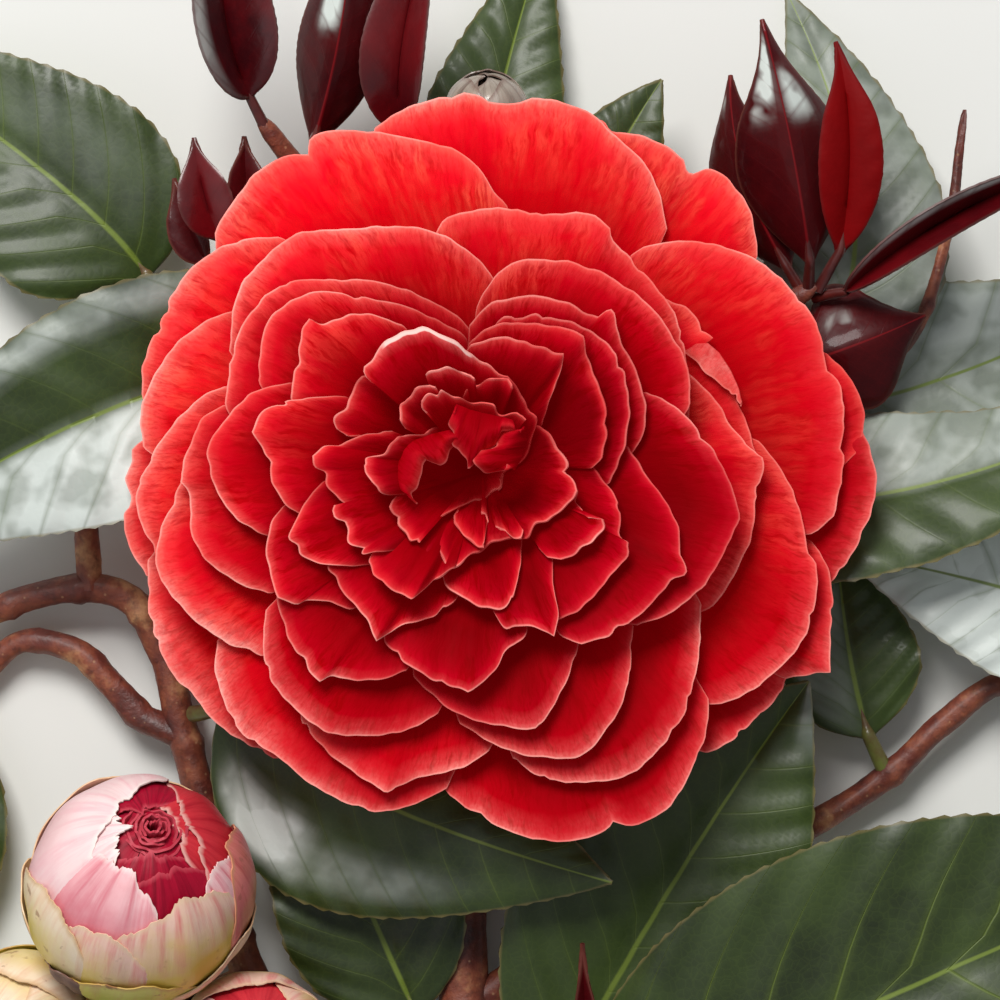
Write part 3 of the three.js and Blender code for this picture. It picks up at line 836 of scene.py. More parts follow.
# %% Heart petals
HEART_PETALS = [
    # the pale curl over the heart
    (16.6, [[(365, 370), (378, 348), (400, 333), (429, 329), (454, 340), (470, 353), (492, 369), (508, 375)],
            [(524, 399), (535, 418), (532, 443), (521, 463), (505, 472), (499, 488),
             (500, 507)]]),
    (16.0, [[(539, 426), (553, 440), (566, 459), (577, 491)],
            [(569, 504), (553, 517), (537, 528), (527, 538)]]),
    (16.0, [[(333, 517), (346, 526), (350, 542), (363, 549)],
            [(362, 555), (378, 552), (403, 549), (419, 547), (424, 555)]]),
    (17.4, [[(389, 507), (397, 523), (409, 542), (419, 542)],
            [(422, 530), (441, 517), (460, 507), (480, 499), (499, 491)]]),
    (16.6, [[(437, 550), (441, 555), (448, 568)],
            [(460, 565), (473, 555), (492, 545), (515, 536)]]),
    (17.6, [[(454, 523), (467, 538), (476, 545), (483, 545)],
            [(486, 530), (488, 523)]]),
    (17.8, [[(400, 421), (403, 402), (416, 388), (429, 384)]]),
    (18.4, [[(422, 402), (429, 392), (441, 389)],
            [(454, 396), (470, 403), (492, 405), (499, 413), (518, 412)]]),
    (18.0, [[(403, 494), (384, 494), (371, 486), (368, 477), (362, 466)],
            [(368, 458), (384, 453), (393, 437), (403, 435), (425, 434), (441, 426),
             (454, 428)]]),
    # dark rims inside the pale curl
    (17.0, [[(414, 388), (422, 376), (436, 370), (452, 369), (470, 372)]]),
    (17.2, [[(462, 396), (470, 387), (482, 380), (496, 376), (508, 378)]]),
    # the pale lobe below its right end
    (17.0, [[(484, 505), (484, 514), (488, 524), (500, 531), (514, 537)]]),
    # folds at the lower left
    (16.4, [[(368, 562), (374, 577), (393, 590), (412, 598)],
            [(420, 592), (440, 577), (454, 568)]]),
]
# petals that bend inwards over the dark middle: layer, the line they start from, and strokes
BENT_PETALS = [
    (20.4, [(456, 404), (470, 408), (484, 410), (500, 416), (512, 420)],
     [[(450, 422), (454, 434), (453, 446), (461, 454), (467, 461), (469, 470)],
      [(474, 464), (476, 459), (484, 452), (492, 449), (498, 444), (500, 436), (510, 431)]]),
    (20.0, [(392, 480), (392, 462), (398, 446), (412, 440), (430, 434), (450, 430)],
     [[(412, 496), (418, 483), (422, 466), (426, 459)],
      [(430, 461), (440, 466), (444, 464), (449, 453), (455, 444)]]),
    (20.8, [(524, 426), (528, 440), (524, 456), (514, 470)],
     [[(513, 431), (503, 433), (497, 438), (497, 446), (492, 450), (482, 452)],
      [(475, 459), (476, 467), (484, 473), (496, 472), (503, 471)]]),
]
HEART_BEND = (39.4, 40.6, 1.5)
add_petals("heart", HEART_PETALS, tuck=1.4, ruffle=0.8, ragged=0.18)
for number, (layer, root, strokes) in enumerate(BENT_PETALS, start=1):
    PETAL_SHAPES.append(shape_petal(f"bent_petal_{number}", layer, strokes, tuck=1.0, ruffle=0.6,
                                    ragged=0.16, root=root, bend=HEART_BEND))
print("petals that bend inwards:", len(BENT_PETALS))

# %% [markdown]
# ## Which petal covers which
#
# Light that gets in between two petals comes out much darker and redder, and that shade is painted
# into the petal's colour. So each point should know how near it lies to a petal that covers it. A map
# of small cells keeps the highest layer over each place. A point looks round itself on the map: the
# nearer a higher layer is, the deeper its painted shade. The sky is brightest beyond the far end, so
# petals on that side of a point count for more.

# %% Map the highest layers
MAP_HALF_MM = 54.0
CELL_MM = 0.5


def denser(grid, parts):
    """All the points of a grid, with more points between them."""
    for axis in (0, 1):
        first = np.take(grid, range(grid.shape[axis] - 1), axis)
        second = np.take(grid, range(1, grid.shape[axis]), axis)
        grid = np.concatenate([first + (second - first) * k / parts for k in range(parts)], axis)
    return grid


def cells(places):
    """The map's cells that hold these places."""
    return np.clip(((places[..., :2] + MAP_HALF_MM) / CELL_MM).astype(int), 0, len(top_layer) - 1)


top_layer = np.full((int(2 * MAP_HALF_MM / CELL_MM),) * 2, -1.0)
for shape in PETAL_SHAPES:
    over = cells(denser(shape["grid"], 5))
    np.maximum.at(top_layer, (over[..., 0], over[..., 1]), shape["layer"])
print("the bloom covers", int((top_layer >= 0).sum() * CELL_MM**2), "square mm")

# %% [markdown]
# ## Shade on the petals
#
# With the map, each petal's points get the values that the finish reads, and with them it paints light
# and shade. Broad trends could be painted by hand, but they follow rules: painted shade comes from the
# neighbours above, the tone's painted light and shade from where on the bloom the point is, and the
# paleness of the rims, a painted highlight, from the side of the light. Only a few places are named one
# by one, where a rim catches the sky, a hollow is deep or an outer petal lies in full light.

# %% Shade under the neighbours, and in the hollows
# each of these is read off between the layers in brackets: how far painted shade reaches, how strong it
# is, how dark a petal is painted below its rim, and how far below its rim it is darkest
SHADE_REACH_MM = ((0, 20), (5.2, 3.0))
SHADE_STRENGTH = ((6, 12), (0.7, 1.0))
HOLLOW_SHADE = ((8, 12, 16, 20), (0.0, 0.35, 0.6, 0.75))
HOLLOW_DEPTH_MM = ((8, 12, 16), (7, 3.5, 1.8))
SHADE_FROM_NORTH = 0.35
HEART_HEIGHT_MM = 41
INNER_FROM_LAYER = 9
BENT_LAYER = 20
BENT_SHADE = 0.55
DEEPEST_SHADE = 1.1
# painted shade in the hollows of the inner petals: the place, its radius in pixels and how dark it is.
# With a minus they are painted light on the outer petals
PAINTED_SHADE_PLACES = [((458, 478), 24, 0.75), ((537, 448), 20, 0.6), ((580, 415), 36, 1.1), ((598, 462), 22, 0.4),
               ((536, 505), 22, 0.5), ((418, 410), 20, 0.3), ((505, 395), 18, 0.4),
               ((728, 585), 40, -1.0), ((778, 662), 40, -0.8), ((290, 665), 60, -0.4)]


def cover(shape):
    """The painted shade of each point of a petal, from petals that cover it, a hollow, or its place's name.
    """
    layer, edge_mm = shape["layer"], shape["edge_mm"]
    reach = np.interp(layer, *SHADE_REACH_MM)
    strength = np.interp(layer, *SHADE_STRENGTH)
    steps = int(reach / CELL_MM)
    home = cells(shape["grid"])
    shade = np.zeros(home.shape[:2])
    for i in range(-steps, steps + 1):
        for j in range(-steps, steps + 1):
            away = math.hypot(i, j) * CELL_MM
            if away > reach:
                continue
            north = j * CELL_MM / max(away, CELL_MM)
            weight = (1 - away / reach) * (1 - SHADE_FROM_NORTH + SHADE_FROM_NORTH * north)
            near = np.clip(home + (i, j), 0, len(top_layer) - 1)
            higher = top_layer[near[..., 0], near[..., 1]] > layer + 0.04
            shade = np.maximum(shade, higher * weight * strength)
    if layer >= BENT_LAYER:
        shade = np.maximum(shade, BENT_SHADE)
    hollow = np.interp(layer, *HOLLOW_SHADE)
    shade = np.maximum(shade, hollow * smooth_step(0.2, np.interp(layer, *HOLLOW_DEPTH_MM), edge_mm))
    for place, radius, amount in PAINTED_SHADE_PLACES:
        if (layer > INNER_FROM_LAYER) == (amount > 0):
            away = np.linalg.norm((shape["grid"] - spot([place], HEART_HEIGHT_MM)[0])[..., :2], axis=-1)
            fall_off = np.exp(-(away / (radius * MM_PER_PIXEL)) ** 2)
            shade = shade + amount * fall_off * smooth_step(0, 0.8, edge_mm)
    return np.clip(shade, 0, DEEPEST_SHADE)


print("named dark and lit places:", len(PAINTED_SHADE_PLACES))

# %% [markdown]
# ## Tone and rims, and the petals themselves
#
# Tone and paleness are painted light and shade, as slopes over the bloom: a number at its middle, and
# how much it changes for each millimetre to the right and away from the stem's end. A seeded jitter
# makes each petal a little lighter or deeper than the next, as if each had opened on another day.
# Then every petal is built as a sheet that is thinner towards its rim.

# %% Tone, pale rims and the sheets
# painted light and shade over the bloom: each slope is a value at the middle, then its change for each mm to
# the right and away from the stem's end
OUTER_TONE = (0.47, 0.007, -0.009)
INNER_TONE = (0.84, 0.006, -0.006)
RIGHT_LIGHT = 0.14
INNER_RIGHT_SHADE = 0.08
TONE_JITTER = 0.08
RIM_PALENESS = (0.62, -0.009, 0)
LOWER_RIM_PALENESS = 0.26
INNER_RIM_DARKER = 0.32
PALENESS_JITTER = 0.15
PALENESS_LIMITS = (0.12, 1.6)
BAND_MM = ((0, 8, 12), (4.0, 2.8, 1.1))
FLAP_PALENESS = 1.04
FLAP_BAND_MM = 60.0
PETAL_THICKNESS = 0.36
RIM_THICKNESS = 0.2
HEART_RIM_MM = 42
HOOD = (16.5, 16.7)
HEART = (12, 22)
# places in the heart where a rim catches the sky: the place, its radius in pixels, how pale it is,
# and the layers that it holds for
PALE_PLACES = [((416, 330), 46, 2.2, HOOD), ((470, 354), 30, 1.2, HOOD), ((366, 462), 20, 0.8, HEART),
               ((496, 516), 18, 0.9, HEART), ((560, 448), 34, 0.8, HEART), ((436, 391), 22, 0.7, HEART),
               ((500, 404), 26, 0.5, HEART), ((590, 560), 40, 0.5, HEART), ((440, 560), 30, 0.4, HEART)]


def slope(numbers, x, y):
    """A value that changes evenly over the bloom."""
    return numbers[0] + numbers[1] * x + numbers[2] * y


def petal_tone(shape):
    """Painted light and shade, lit red 0 and deep red 1: deeper near the stem's end and in the bloom's
    middle.
    """
    x, y = shape["grid"][..., 0], shape["grid"][..., 1]
    jitter = random.Random(shape["name"] + "tone").uniform(-TONE_JITTER, TONE_JITTER)
    outer = slope(OUTER_TONE, x, y) - RIGHT_LIGHT * smooth_step(14, 28, x)
    tone = outer + (slope(INNER_TONE, x, y) - outer) * smooth_step(6, 10.5, shape["layer"])
    on_the_right = smooth_step(4, 20, x) * smooth_step(5, 8, shape["layer"])
    return np.clip(tone + INNER_RIGHT_SHADE * on_the_right + jitter, 0, 1)


def rim_paleness(shape):
    """How pale a petal's rim is, painted light: most on the left and below, where light falls flat along the
    petals.
    """
    x, y = shape["grid"][..., 0], shape["grid"][..., 1]
    jitter = random.Random(shape["name"] + "pale").uniform(-PALENESS_JITTER, PALENESS_JITTER)
    pale = slope(RIM_PALENESS, x, y) + LOWER_RIM_PALENESS * smooth_step(3, 20, -y) + jitter
    pale = pale - INNER_RIM_DARKER * smooth_step(7, 12, shape["layer"])
    for place, radius, amount, (lowest, highest) in PALE_PLACES:
        if lowest < shape["layer"] < highest:
            away = np.linalg.norm(shape["grid"] - spot([place], HEART_RIM_MM)[0], axis=-1)
            pale = pale + amount * np.exp(-(away / (radius * MM_PER_PIXEL)) ** 2)
    return np.clip(pale, *PALENESS_LIMITS)


for number, shape in enumerate(PETAL_SHAPES):
    edge_mm = shape["edge_mm"]
    pale = rim_paleness(shape)
    band_width = np.full_like(edge_mm, np.interp(shape["layer"], *BAND_MM))
    if shape["name"] == "torn_flap":
        pale = np.full_like(edge_mm, FLAP_PALENESS)
        band_width = np.full_like(edge_mm, FLAP_BAND_MM)
    # the tone, the shade and the paleness that the petal finish reads are painted light and shade
    layers = {"place": np.broadcast_arrays(shape["across_mm"][None], shape["outward"]),
              "rim": (edge_mm, petal_tone(shape)),
              "shade": (cover(shape), np.full_like(edge_mm, number)),
              "band": (pale, band_width * (1 + 1.3 * np.clip(pale - 0.95, 0, 1)))}
    thickness = RIM_THICKNESS + (PETAL_THICKNESS - RIM_THICKNESS) * smooth_step(0, 4, edge_mm)
    piece = sheet(shape["name"], shape["grid"], thickness, layers, [petal_finish])
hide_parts("bloom")
print("petals built:", len(PETAL_SHAPES))

# %% [markdown]
# ## Leaf blades
#
# A camellia leaf is thick, leathery and waxy: dark above, paler and dull below. Its midrib lies in a
# groove, side veins run off it in arcs, and the blade swells a little between them. The margin has
# small forward-pointing teeth. A leaf is drawn once, as a function of its midrib's three points, its
# width, how far it is folded along the midrib and how far it is rolled to one side. The numbers are
# those of the plain solids, so each leaf lies exactly where its solid does.

# %% Leaf veins as a pattern
SKY_ON_WAX = ink(208, 215, 210)


def side_vein(tree, phase, from_midrib, width):
    """1 on a side vein, 0 between them; the veins thin out towards the margin."""
    saw = math_node(tree, "ABSOLUTE", math_node(tree, "SUBTRACT", math_node(tree, "FRACT", phase), 0.5))
    taper = times(tree, from_midrib, width * 0.06)
    thin = math_node(tree, "MAXIMUM", math_node(tree, "SUBTRACT", width, taper), 0.005)
    off_vein = math_node(tree, "MINIMUM", math_node(tree, "DIVIDE", saw, thin), 1.0)
    return math_node(tree, "SUBTRACT", 1.0, off_vein)


def leaf_material(name, dark, light, vein_colour, margin_colour, midrib_mm=0.5, spotty=0.7, **settings):
    """A veined, waxy leaf face. The sheet says where the sky's pale gloss lies on it, in spots or
    evenly."""
    material, tree, shader = new_material(name, **settings)
    along_leaf = uv(tree, "place")[1]
    phase, from_midrib = uv(tree, "veins")
    margin, tone = uv(tree, "rim")
    gloss, vein_strength = uv(tree, "gloss")
    here = surface_place(tree)
    clouds = noise(tree, here, 55.0, 4.0, 0.6)
    mottle = noise(tree, here, 420.0, 3.0, 0.6)
    spots = noise(tree, here, 210.0, 2.0, 0.5)
    pores = node(tree, "TexVoronoi", {"Vector": here, "Scale": 900.0}, feature="DISTANCE_TO_EDGE").outputs[0]
    veins = times(tree, side_vein(tree, phase, from_midrib, 0.035), vein_strength)
    halo = side_vein(tree, phase, from_midrib, 0.2)
    slim = math_node(tree, "DIVIDE", from_midrib, math_node(tree, "SUBTRACT", 1.25, along_leaf))
    midrib = span(tree, slim, midrib_mm, midrib_mm * 0.4)
    off_halo = math_node(tree, "SUBTRACT", 1.0, times(tree, halo, 0.35))
    patches = times(tree, gloss, span(tree, spots, 0.4, 0.56, spotty, 1.15), off_halo)
    blade = blend(tree, span(tree, clouds, 0.3, 0.72), dark, light)
    blade = blend(tree, times(tree, tone, 0.75), blade, light)
    blade = blend(tree, span(tree, mottle, 0.45, 0.75, 0.0, 0.25), blade, light)
    blade = blend(tree, times(tree, halo, vein_strength, 0.25), blade, vein_colour)
    blade = blend(tree, span(tree, pores, 0.1, 0.0, 0.0, 0.05), blade, vein_colour)
    blade = blend(tree, patches, blade, SKY_ON_WAX)
    blade = blend(tree, times(tree, math_node(tree, "MAXIMUM", veins, midrib), 0.9), blade, vein_colour)
    blade = blend(tree, span(tree, margin, 0.4, 0.1, 0.0, 0.6), blade, margin_colour)
    height = math_node(tree, "ADD", times(tree, veins, -1.2), times(tree, pores, 0.3))
    rough = shader.inputs["Roughness"].default_value
    plug(tree, shader, blade, span(tree, clouds, 0.3, 0.7, rough - 0.06, rough + 0.1), height, 0.1)
    return material


print("leaf patterns ready")

# %% [markdown]
# ## Leaf colours
#
# Old leaves are dark green and shine only softly, because their wax is scratched. Young ones are
# still maroon from the pigment that protects them, and as glossy as varnish. One of them has light
# falling through it and looks crimson. All of them use the one leaf finish with other colours, so
# the veins always match the blade's shape.

# %% Leaf finishes
green_upper = leaf_material("leaf_green_upper", ink(22, 32, 8), ink(58, 76, 26), ink(112, 130, 46),
                            ink(122, 106, 62), Roughness=0.48, Coat_Weight=0.12, Coat_Roughness=0.2)
green_lower = leaf_material("leaf_green_lower", ink(92, 112, 66), ink(120, 138, 84), ink(158, 168, 106),
                            ink(120, 110, 70), Roughness=0.62)
young_upper = leaf_material("young_leaf_upper", ink(40, 3, 7), ink(80, 6, 10), ink(112, 14, 20),
                            ink(104, 56, 46), 0.22, 0.0, Roughness=0.4, Coat_Weight=0.15,
                            Coat_Roughness=0.1, Specular_IOR_Level=0.12)
young_lower = leaf_material("young_leaf_lower", ink(40, 8, 12), ink(84, 16, 20), ink(126, 36, 30),
                            ink(120, 60, 46), 0.3, Roughness=0.26, Coat_Weight=0.7, Coat_Roughness=0.12)
young_dark_red = leaf_material("young_leaf_dark_red", ink(52, 2, 7), ink(112, 3, 12), ink(70, 2, 8),
                               ink(84, 40, 36), 0.25, Roughness=0.34, Coat_Weight=0.3, Coat_Roughness=0.2)
young_crimson = leaf_material("young_leaf_crimson", ink(104, 0, 2), ink(130, 0, 3), ink(90, 0, 3),
                              ink(96, 20, 20), 0.2, Roughness=0.6, Specular_IOR_Level=0.1)


def stalk_material(name, tender, woody, **settings):
    """A smooth leaf stalk, tender in places and woody in others."""
    material, tree, shader = new_material(name, **settings)
    cloud = noise(tree, surface_place(tree), 300.0, 4.0, 0.6)
    plug(tree, shader, blend(tree, span(tree, cloud, 0.35, 0.65), tender, woody),
         span(tree, cloud, 0.3, 0.7, 0.35, 0.5), cloud, 0.1)
    return material


old_stalk = stalk_material("leaf_stalk", ink(112, 118, 58), ink(96, 60, 40), Roughness=0.4, Coat_Weight=0.2)
young_stalk = stalk_material("young_stalk", ink(88, 30, 24), ink(60, 10, 12), Roughness=0.3, Coat_Weight=0.4)
print("six leaf finishes and two for their stalks made")

# %% [markdown]
# ## Round limbs
#
# Stems and leaf stalks are round limbs that bend. A Blender curve with a bevel would do, but its
# skin is perfectly smooth. Here rings of points are set square to the path, and each point may be
# pushed out or in, so the same tube makes a smooth stalk or a knotty twig.

# %% Make a tube
TUBE_SMOOTH_UP_TO = 60
OFF_EVERY_PATH = (0.31, 0.17, 0.94)


def frames_along(path):
    """Two directions square to a path, at each of its points, that don't twist."""
    ahead = unit(np.gradient(path, axis=0))
    sides = [unit(np.cross(ahead[0], OFF_EVERY_PATH))]
    for direction in ahead[1:]:
        sides.append(unit(sides[-1] - direction * sides[-1].dot(direction)))
    sides = np.array(sides)
    return sides, np.cross(ahead, sides)


def tube(name, path, radii, material, around, swell=None):
    """A closed round limb in spray millimetres. swell adds to the radius: it takes the angle and the
    length."""
    sides, ups = frames_along(path)
    angle = np.linspace(0, 2 * np.pi, around, endpoint=False)
    radii = radii[:, None] * np.ones(around)
    if swell is not None:
        radii = radii + swell(angle[None], distance_along(path)[:, None])
    ring = (np.cos(angle)[None, :, None] * sides[:, None] + np.sin(angle)[None, :, None] * ups[:, None])
    points = (path[:, None] + ring * radii[..., None]).reshape(-1, 3)
    ends = np.stack([path[0], path[-1]])
    last = (len(path) - 1) * around
    start, end = len(path) * around, len(path) * around + 1
    pairs = [(k, (k + 1) % around) for k in range(around)]
    faces = [(row + k, row + after, row + around + after, row + around + k)
             for row in range(0, last, around) for k, after in pairs]
    for k, after in pairs:
        faces += [(start, after, k), (end, last + k, last + after)]
    mesh = bpy.data.meshes.new(name)
    mesh.from_pydata(to_frame(np.concatenate([points, ends])).tolist(), [], faces)
    piece = add_piece(name, mesh, [material], TUBE_SMOOTH_UP_TO)
    return piece


print("tubes ready, smooth up to", TUBE_SMOOTH_UP_TO, "degrees")

# %% [markdown]
# ## The sky on the leaves
#
# Out of doors a waxy leaf mirrors a broad bright sky, in patches where it happens to face it. A lamp
# in a studio is too small for such patches. They don't slide about as a true mirror image would,
# but from any side a leaf then looks waxed. So they are part of the leaf's finish: a table says
# where along and across each leaf such a patch lies, and how pale it is.

# %% Where the sky shows on the leaves
# for each patch: its middle and reach along the leaf, from 0 to 1, the two sides that it runs between,
# from -1 on the left margin to 1 on the right one, and how pale it is
GLOSS = {
    "leaf_left": [(0.5, 0.62, -1.1, -0.06, 0.8), (0.6, 0.5, 0.72, 0.94, 0.5)],
    "leaf_under_bloom": [(0.26, 0.13, 0.42, 0.85, 1.3), (0.5, 0.2, 0.5, 0.8, 0.3)],
    "leaf_right_middle": [(0.75, 0.5, -1.1, -0.04, 0.45)],
    "leaf_right_upper": [(0.8, 0.35, -0.9, -0.25, 0.6), (0.75, 0.35, -1.1, 1.1, 0.4)],
    "leaf_right_lower": [(0.5, 0.7, -1.2, 1.2, 1.3)],
    "leaf_lower_right": [(1.0, 0.12, 0.5, 1.1, 0.4)],
    "leaf_front_right": [(0.9, 0.12, -0.6, 0.2, 0.22)],
    "leaf_top_right_back": [(0.5, 0.6, -1.1, 1.1, 0.3)],
    "leaf_left_back": [(0.55, 0.3, 0.2, 0.7, 0.08)],
    "leaf_right_back": [(0.5, 0.4, -0.8, -0.1, 0.25)],
    "left_young_leaf_middle": [(0.62, 0.16, -0.5, -0.1, 1.3)],
    "left_young_leaf_outer": [(0.5, 0.4, -1.1, -0.7, 0.4)],
    "right_young_leaf_tall": [(0.78, 0.14, -0.75, -0.2, 1.3), (0.7, 0.1, 0.1, 0.6, 0.9)],
    "right_young_leaf_left": [(0.8, 0.12, -0.9, -0.5, 0.4)],
    "right_young_leaf_arched": [(0.5, 0.4, -0.98, -0.78, 0.7)],
    "right_young_leaf_drooping": [(0.35, 0.1, -0.5, -0.3, 0.6)],
}
GLOSS_EDGE = 0.12
print("leaves that show the sky:", len(GLOSS))

# %% [markdown]
# ## One leaf
#
# The blade could be a flat card with a picture of a leaf, but its edge, its midrib and the swelling
# between its veins are what the light plays on. So it is a sheet of real points: the outline gives
# its half width at each row, a saw pattern adds the teeth, and the midrib's groove, the swellings
# and the wavy margin lift or lower the points. The same vein phase drives the shape and the finish,
# so the painted veins lie in the modelled valleys. First come the spine, the outline and the stalk,
# a tube that runs on below the midrib.

# %% A leaf's spine, outline and stalk
OUTLINE_SKEW = 0.8
OUTLINE_FULLNESS = 0.84
TIP_TAPER = 0.22
TIP_HALF_WIDTH = 0.35
ROW_MM = 0.6
STALK_RADIUS = 0.95
YOUNG_STALK_PART = 0.7


def leaf_spine(base, middle, tip, t):
    """The quadratic curve from base to tip that passes through middle."""
    control = 2 * middle - (base + tip) / 2
    t = t[:, None]
    return (1 - t) ** 2 * base + 2 * t * (1 - t) * control + t**2 * tip


def blade_axes(spine, roll):
    """The directions to the right and up of a blade at each row, rolled to one side."""
    ahead = unit(np.gradient(spine, axis=0))
    level = unit(np.array([0, 0, 1.0]) - ahead * ahead[:, 2:3])
    sideways = np.cross(ahead, level)
    turn = math.radians(roll)
    return (sideways * math.cos(turn) - level * math.sin(turn),
            level * math.cos(turn) + sideways * math.sin(turn))


def half_width(width, drawn_out, t):
    """Half the blade's width at each row: widest below its middle, narrow at the tip."""
    outline = np.sin(np.pi * t**OUTLINE_SKEW) ** OUTLINE_FULLNESS * (1 - TIP_TAPER * t**2)
    outline = outline * (1 - drawn_out * smooth_step(0.6, 0.97, t))
    return np.maximum(width / 2 * outline, TIP_HALF_WIDTH * (0.4 + 0.6 * (t < 0.5)))


def leaf_stalk(name, stalk, base, spine, up, slot):
    """The stalk, from inside its twig to a little way along the underside of the midrib."""
    young = slot == "young_leaf"
    foot = stalk - unit(base - stalk) * (1.5 if young else 0.3)
    run = through(np.concatenate([np.linspace(foot, base, 5), spine[2:9:3] - up[2:9:3] * 0.25]), 6)
    part = np.linspace(0, 1, len(run))
    radii = STALK_RADIUS * (1.15 - 0.4 * part - 0.6 * smooth_step(0.6, 1, part))
    if young:
        tube(name + "_stalk", run, radii * YOUNG_STALK_PART, young_stalk, around=10)
    else:
        tube(name + "_stalk", run, radii, old_stalk, around=10)


print("a blade's row of points every", ROW_MM, "mm, and stalks up to", STALK_RADIUS, "mm in radius")

# %% [markdown]
# ## The blade
#
# The points of a row lie closer together near the margins, where the teeth are. Each point's height
# over the spine is a sum: the fold lifts it, the groove and the swellings between the veins move it,
# and the margin droops and waves. On the lower face the midrib stands out as a rib, so the sheet is
# thicker there.

# %% Make a leaf
LEAF_COLUMNS = 25
MARGIN_CROWDING = 0.92
TOOTH_BACK = 0.72
SIDE_VEINS = 9.5
VEIN_LEAN = 0.62
VEIN_CURVE = 0.022
GROOVE_DEPTH = 0.34
MARGIN_DROOP = 0.7
RIB_HEIGHT = 0.9
FULL_TURN = 6.28


def sky_gloss(name, across, t):
    """How strongly the pale sky shows on the leaf's wax, over its grid, from the table of gloss patches."""
    total = np.zeros((len(t), across.size))
    for middle, reach, side_from, side_to, amount in GLOSS.get(name, []):
        lengthwise = np.exp(-((t - middle) / reach) ** 4)[:, None]
        sideways = smooth_step(side_from - GLOSS_EDGE, side_from + GLOSS_EDGE, across)
        sideways = sideways * smooth_step(side_to + GLOSS_EDGE, side_to - GLOSS_EDGE, across)
        total = np.maximum(total, amount * lengthwise * sideways)
    return total


def leaf(name, stalk, base, middle, tip, width, fold=0.0, roll=0.0, faces=None, slot="green_leaf", tone=0.0,
         thickness=0.55, tooth=0.38, tooth_mm=2.3, quilt=0.22, wave=0.8, veins=0.3, drawn_out=0.0):
    """One leaf with its stalk, that stands for the plain solid of the same name.

    fold and roll are in degrees. tooth and tooth_mm are the height and length of a tooth, quilt and
    wave the height of the swellings and of the margin's waves. drawn_out narrows the tip."""
    dice = random.Random(name)
    stalk, base, middle, tip = (np.array(p, float) for p in (stalk, base, middle, tip))
    rows = max(int(np.linalg.norm(tip - base) / ROW_MM), 24)
    t = np.linspace(0, 1, rows)
    spine = leaf_spine(base, middle, tip, t)
    length = distance_along(spine)
    right, up = blade_axes(spine, roll)
    crease = math.radians(fold)
    half = half_width(width, drawn_out, t)
    saw = (length / tooth_mm + dice.random()) % 1
    saw = np.where(saw < TOOTH_BACK, saw / TOOTH_BACK, (1 - saw) / (1 - TOOTH_BACK))
    teeth = tooth * saw * np.clip(half / 4, 0, 1)
    across = np.sin(np.linspace(-1, 1, LEAF_COLUMNS) * np.pi / 2 * MARGIN_CROWDING)
    across = (across / across[-1])[None]
    outer = np.abs(across)
    out = across * half[:, None] + np.sign(across) * outer**12 * (teeth - tooth / 2)[:, None]
    from_midrib = np.abs(out)
    spacing = max(length[-1] / SIDE_VEINS, 3.0)
    offset = -0.5 * smooth_step(0, 3, from_midrib) * (across < 0)
    phase = (length[:, None] - VEIN_LEAN * from_midrib - VEIN_CURVE * from_midrib**2) / spacing + offset
    lift = from_midrib * math.tan(crease)
    groove = -GROOVE_DEPTH * np.exp(-(from_midrib / 0.7) ** 2) * np.clip(half / 3, 0, 1)[:, None]
    swollen = -quilt * np.cos(2 * np.pi * phase) * smooth_step(0.6, 3.0, from_midrib)
    edge_down = -MARGIN_DROOP * outer**6 * np.clip(half / 6, 0, 1)[:, None]
    turns = [dice.random() * FULL_TURN for _ in range(2)]
    part = length[:, None] / length[-1]
    ripple = wave * outer**2 * np.clip(half / 8, 0, 1)[:, None] * (
        np.sin(part * 9 + turns[0] + 2.2 * (across > 0)) * 0.6
        + np.sin(part * 21 + turns[1] + 1.2 * (across > 0)) * 0.3)
    rib = RIB_HEIGHT * np.exp(-(from_midrib / 0.8) ** 2) * (1 - 0.75 * t)[:, None]
    height = lift + groove + swollen + edge_down + ripple - rib / 2
    grid = (spine[:, None] + right[:, None] * (out * math.cos(crease))[..., None]
            + up[:, None] * (height * math.cos(crease))[..., None])
    margin = np.maximum(half[:, None] - from_midrib, 0)
    thick = thickness * (0.55 + 0.45 * smooth_step(0, 2, margin)) + rib
    layers = {
        "place": np.broadcast_arrays((across + 1) / 2, t[:, None]),
        "veins": (phase, from_midrib),
        "rim": (margin, np.full_like(margin, tone)),
        "gloss": (sky_gloss(name, across, t), np.full_like(margin, veins)),
    }
    piece = sheet(name + "_blade", grid[:, ::-1], thick[:, ::-1],
                  {k: (a[:, ::-1], b[:, ::-1]) for k, (a, b) in layers.items()},
                  faces or (green_upper, green_lower))
    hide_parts(name)
    leaf_stalk(name, stalk, base, spine, up, slot)


print("a blade has", LEAF_COLUMNS, "points across")

# %% [markdown]
# ## The green leaves
#
# Seventeen leathery leaves sit round the bloom and on the twigs. They could be scattered at random,
# but the photograph shows where most of them lie, so a table places each: where its stalk starts,
# its base, middle and tip in millimetres, its width, and how it is folded and rolled in degrees.

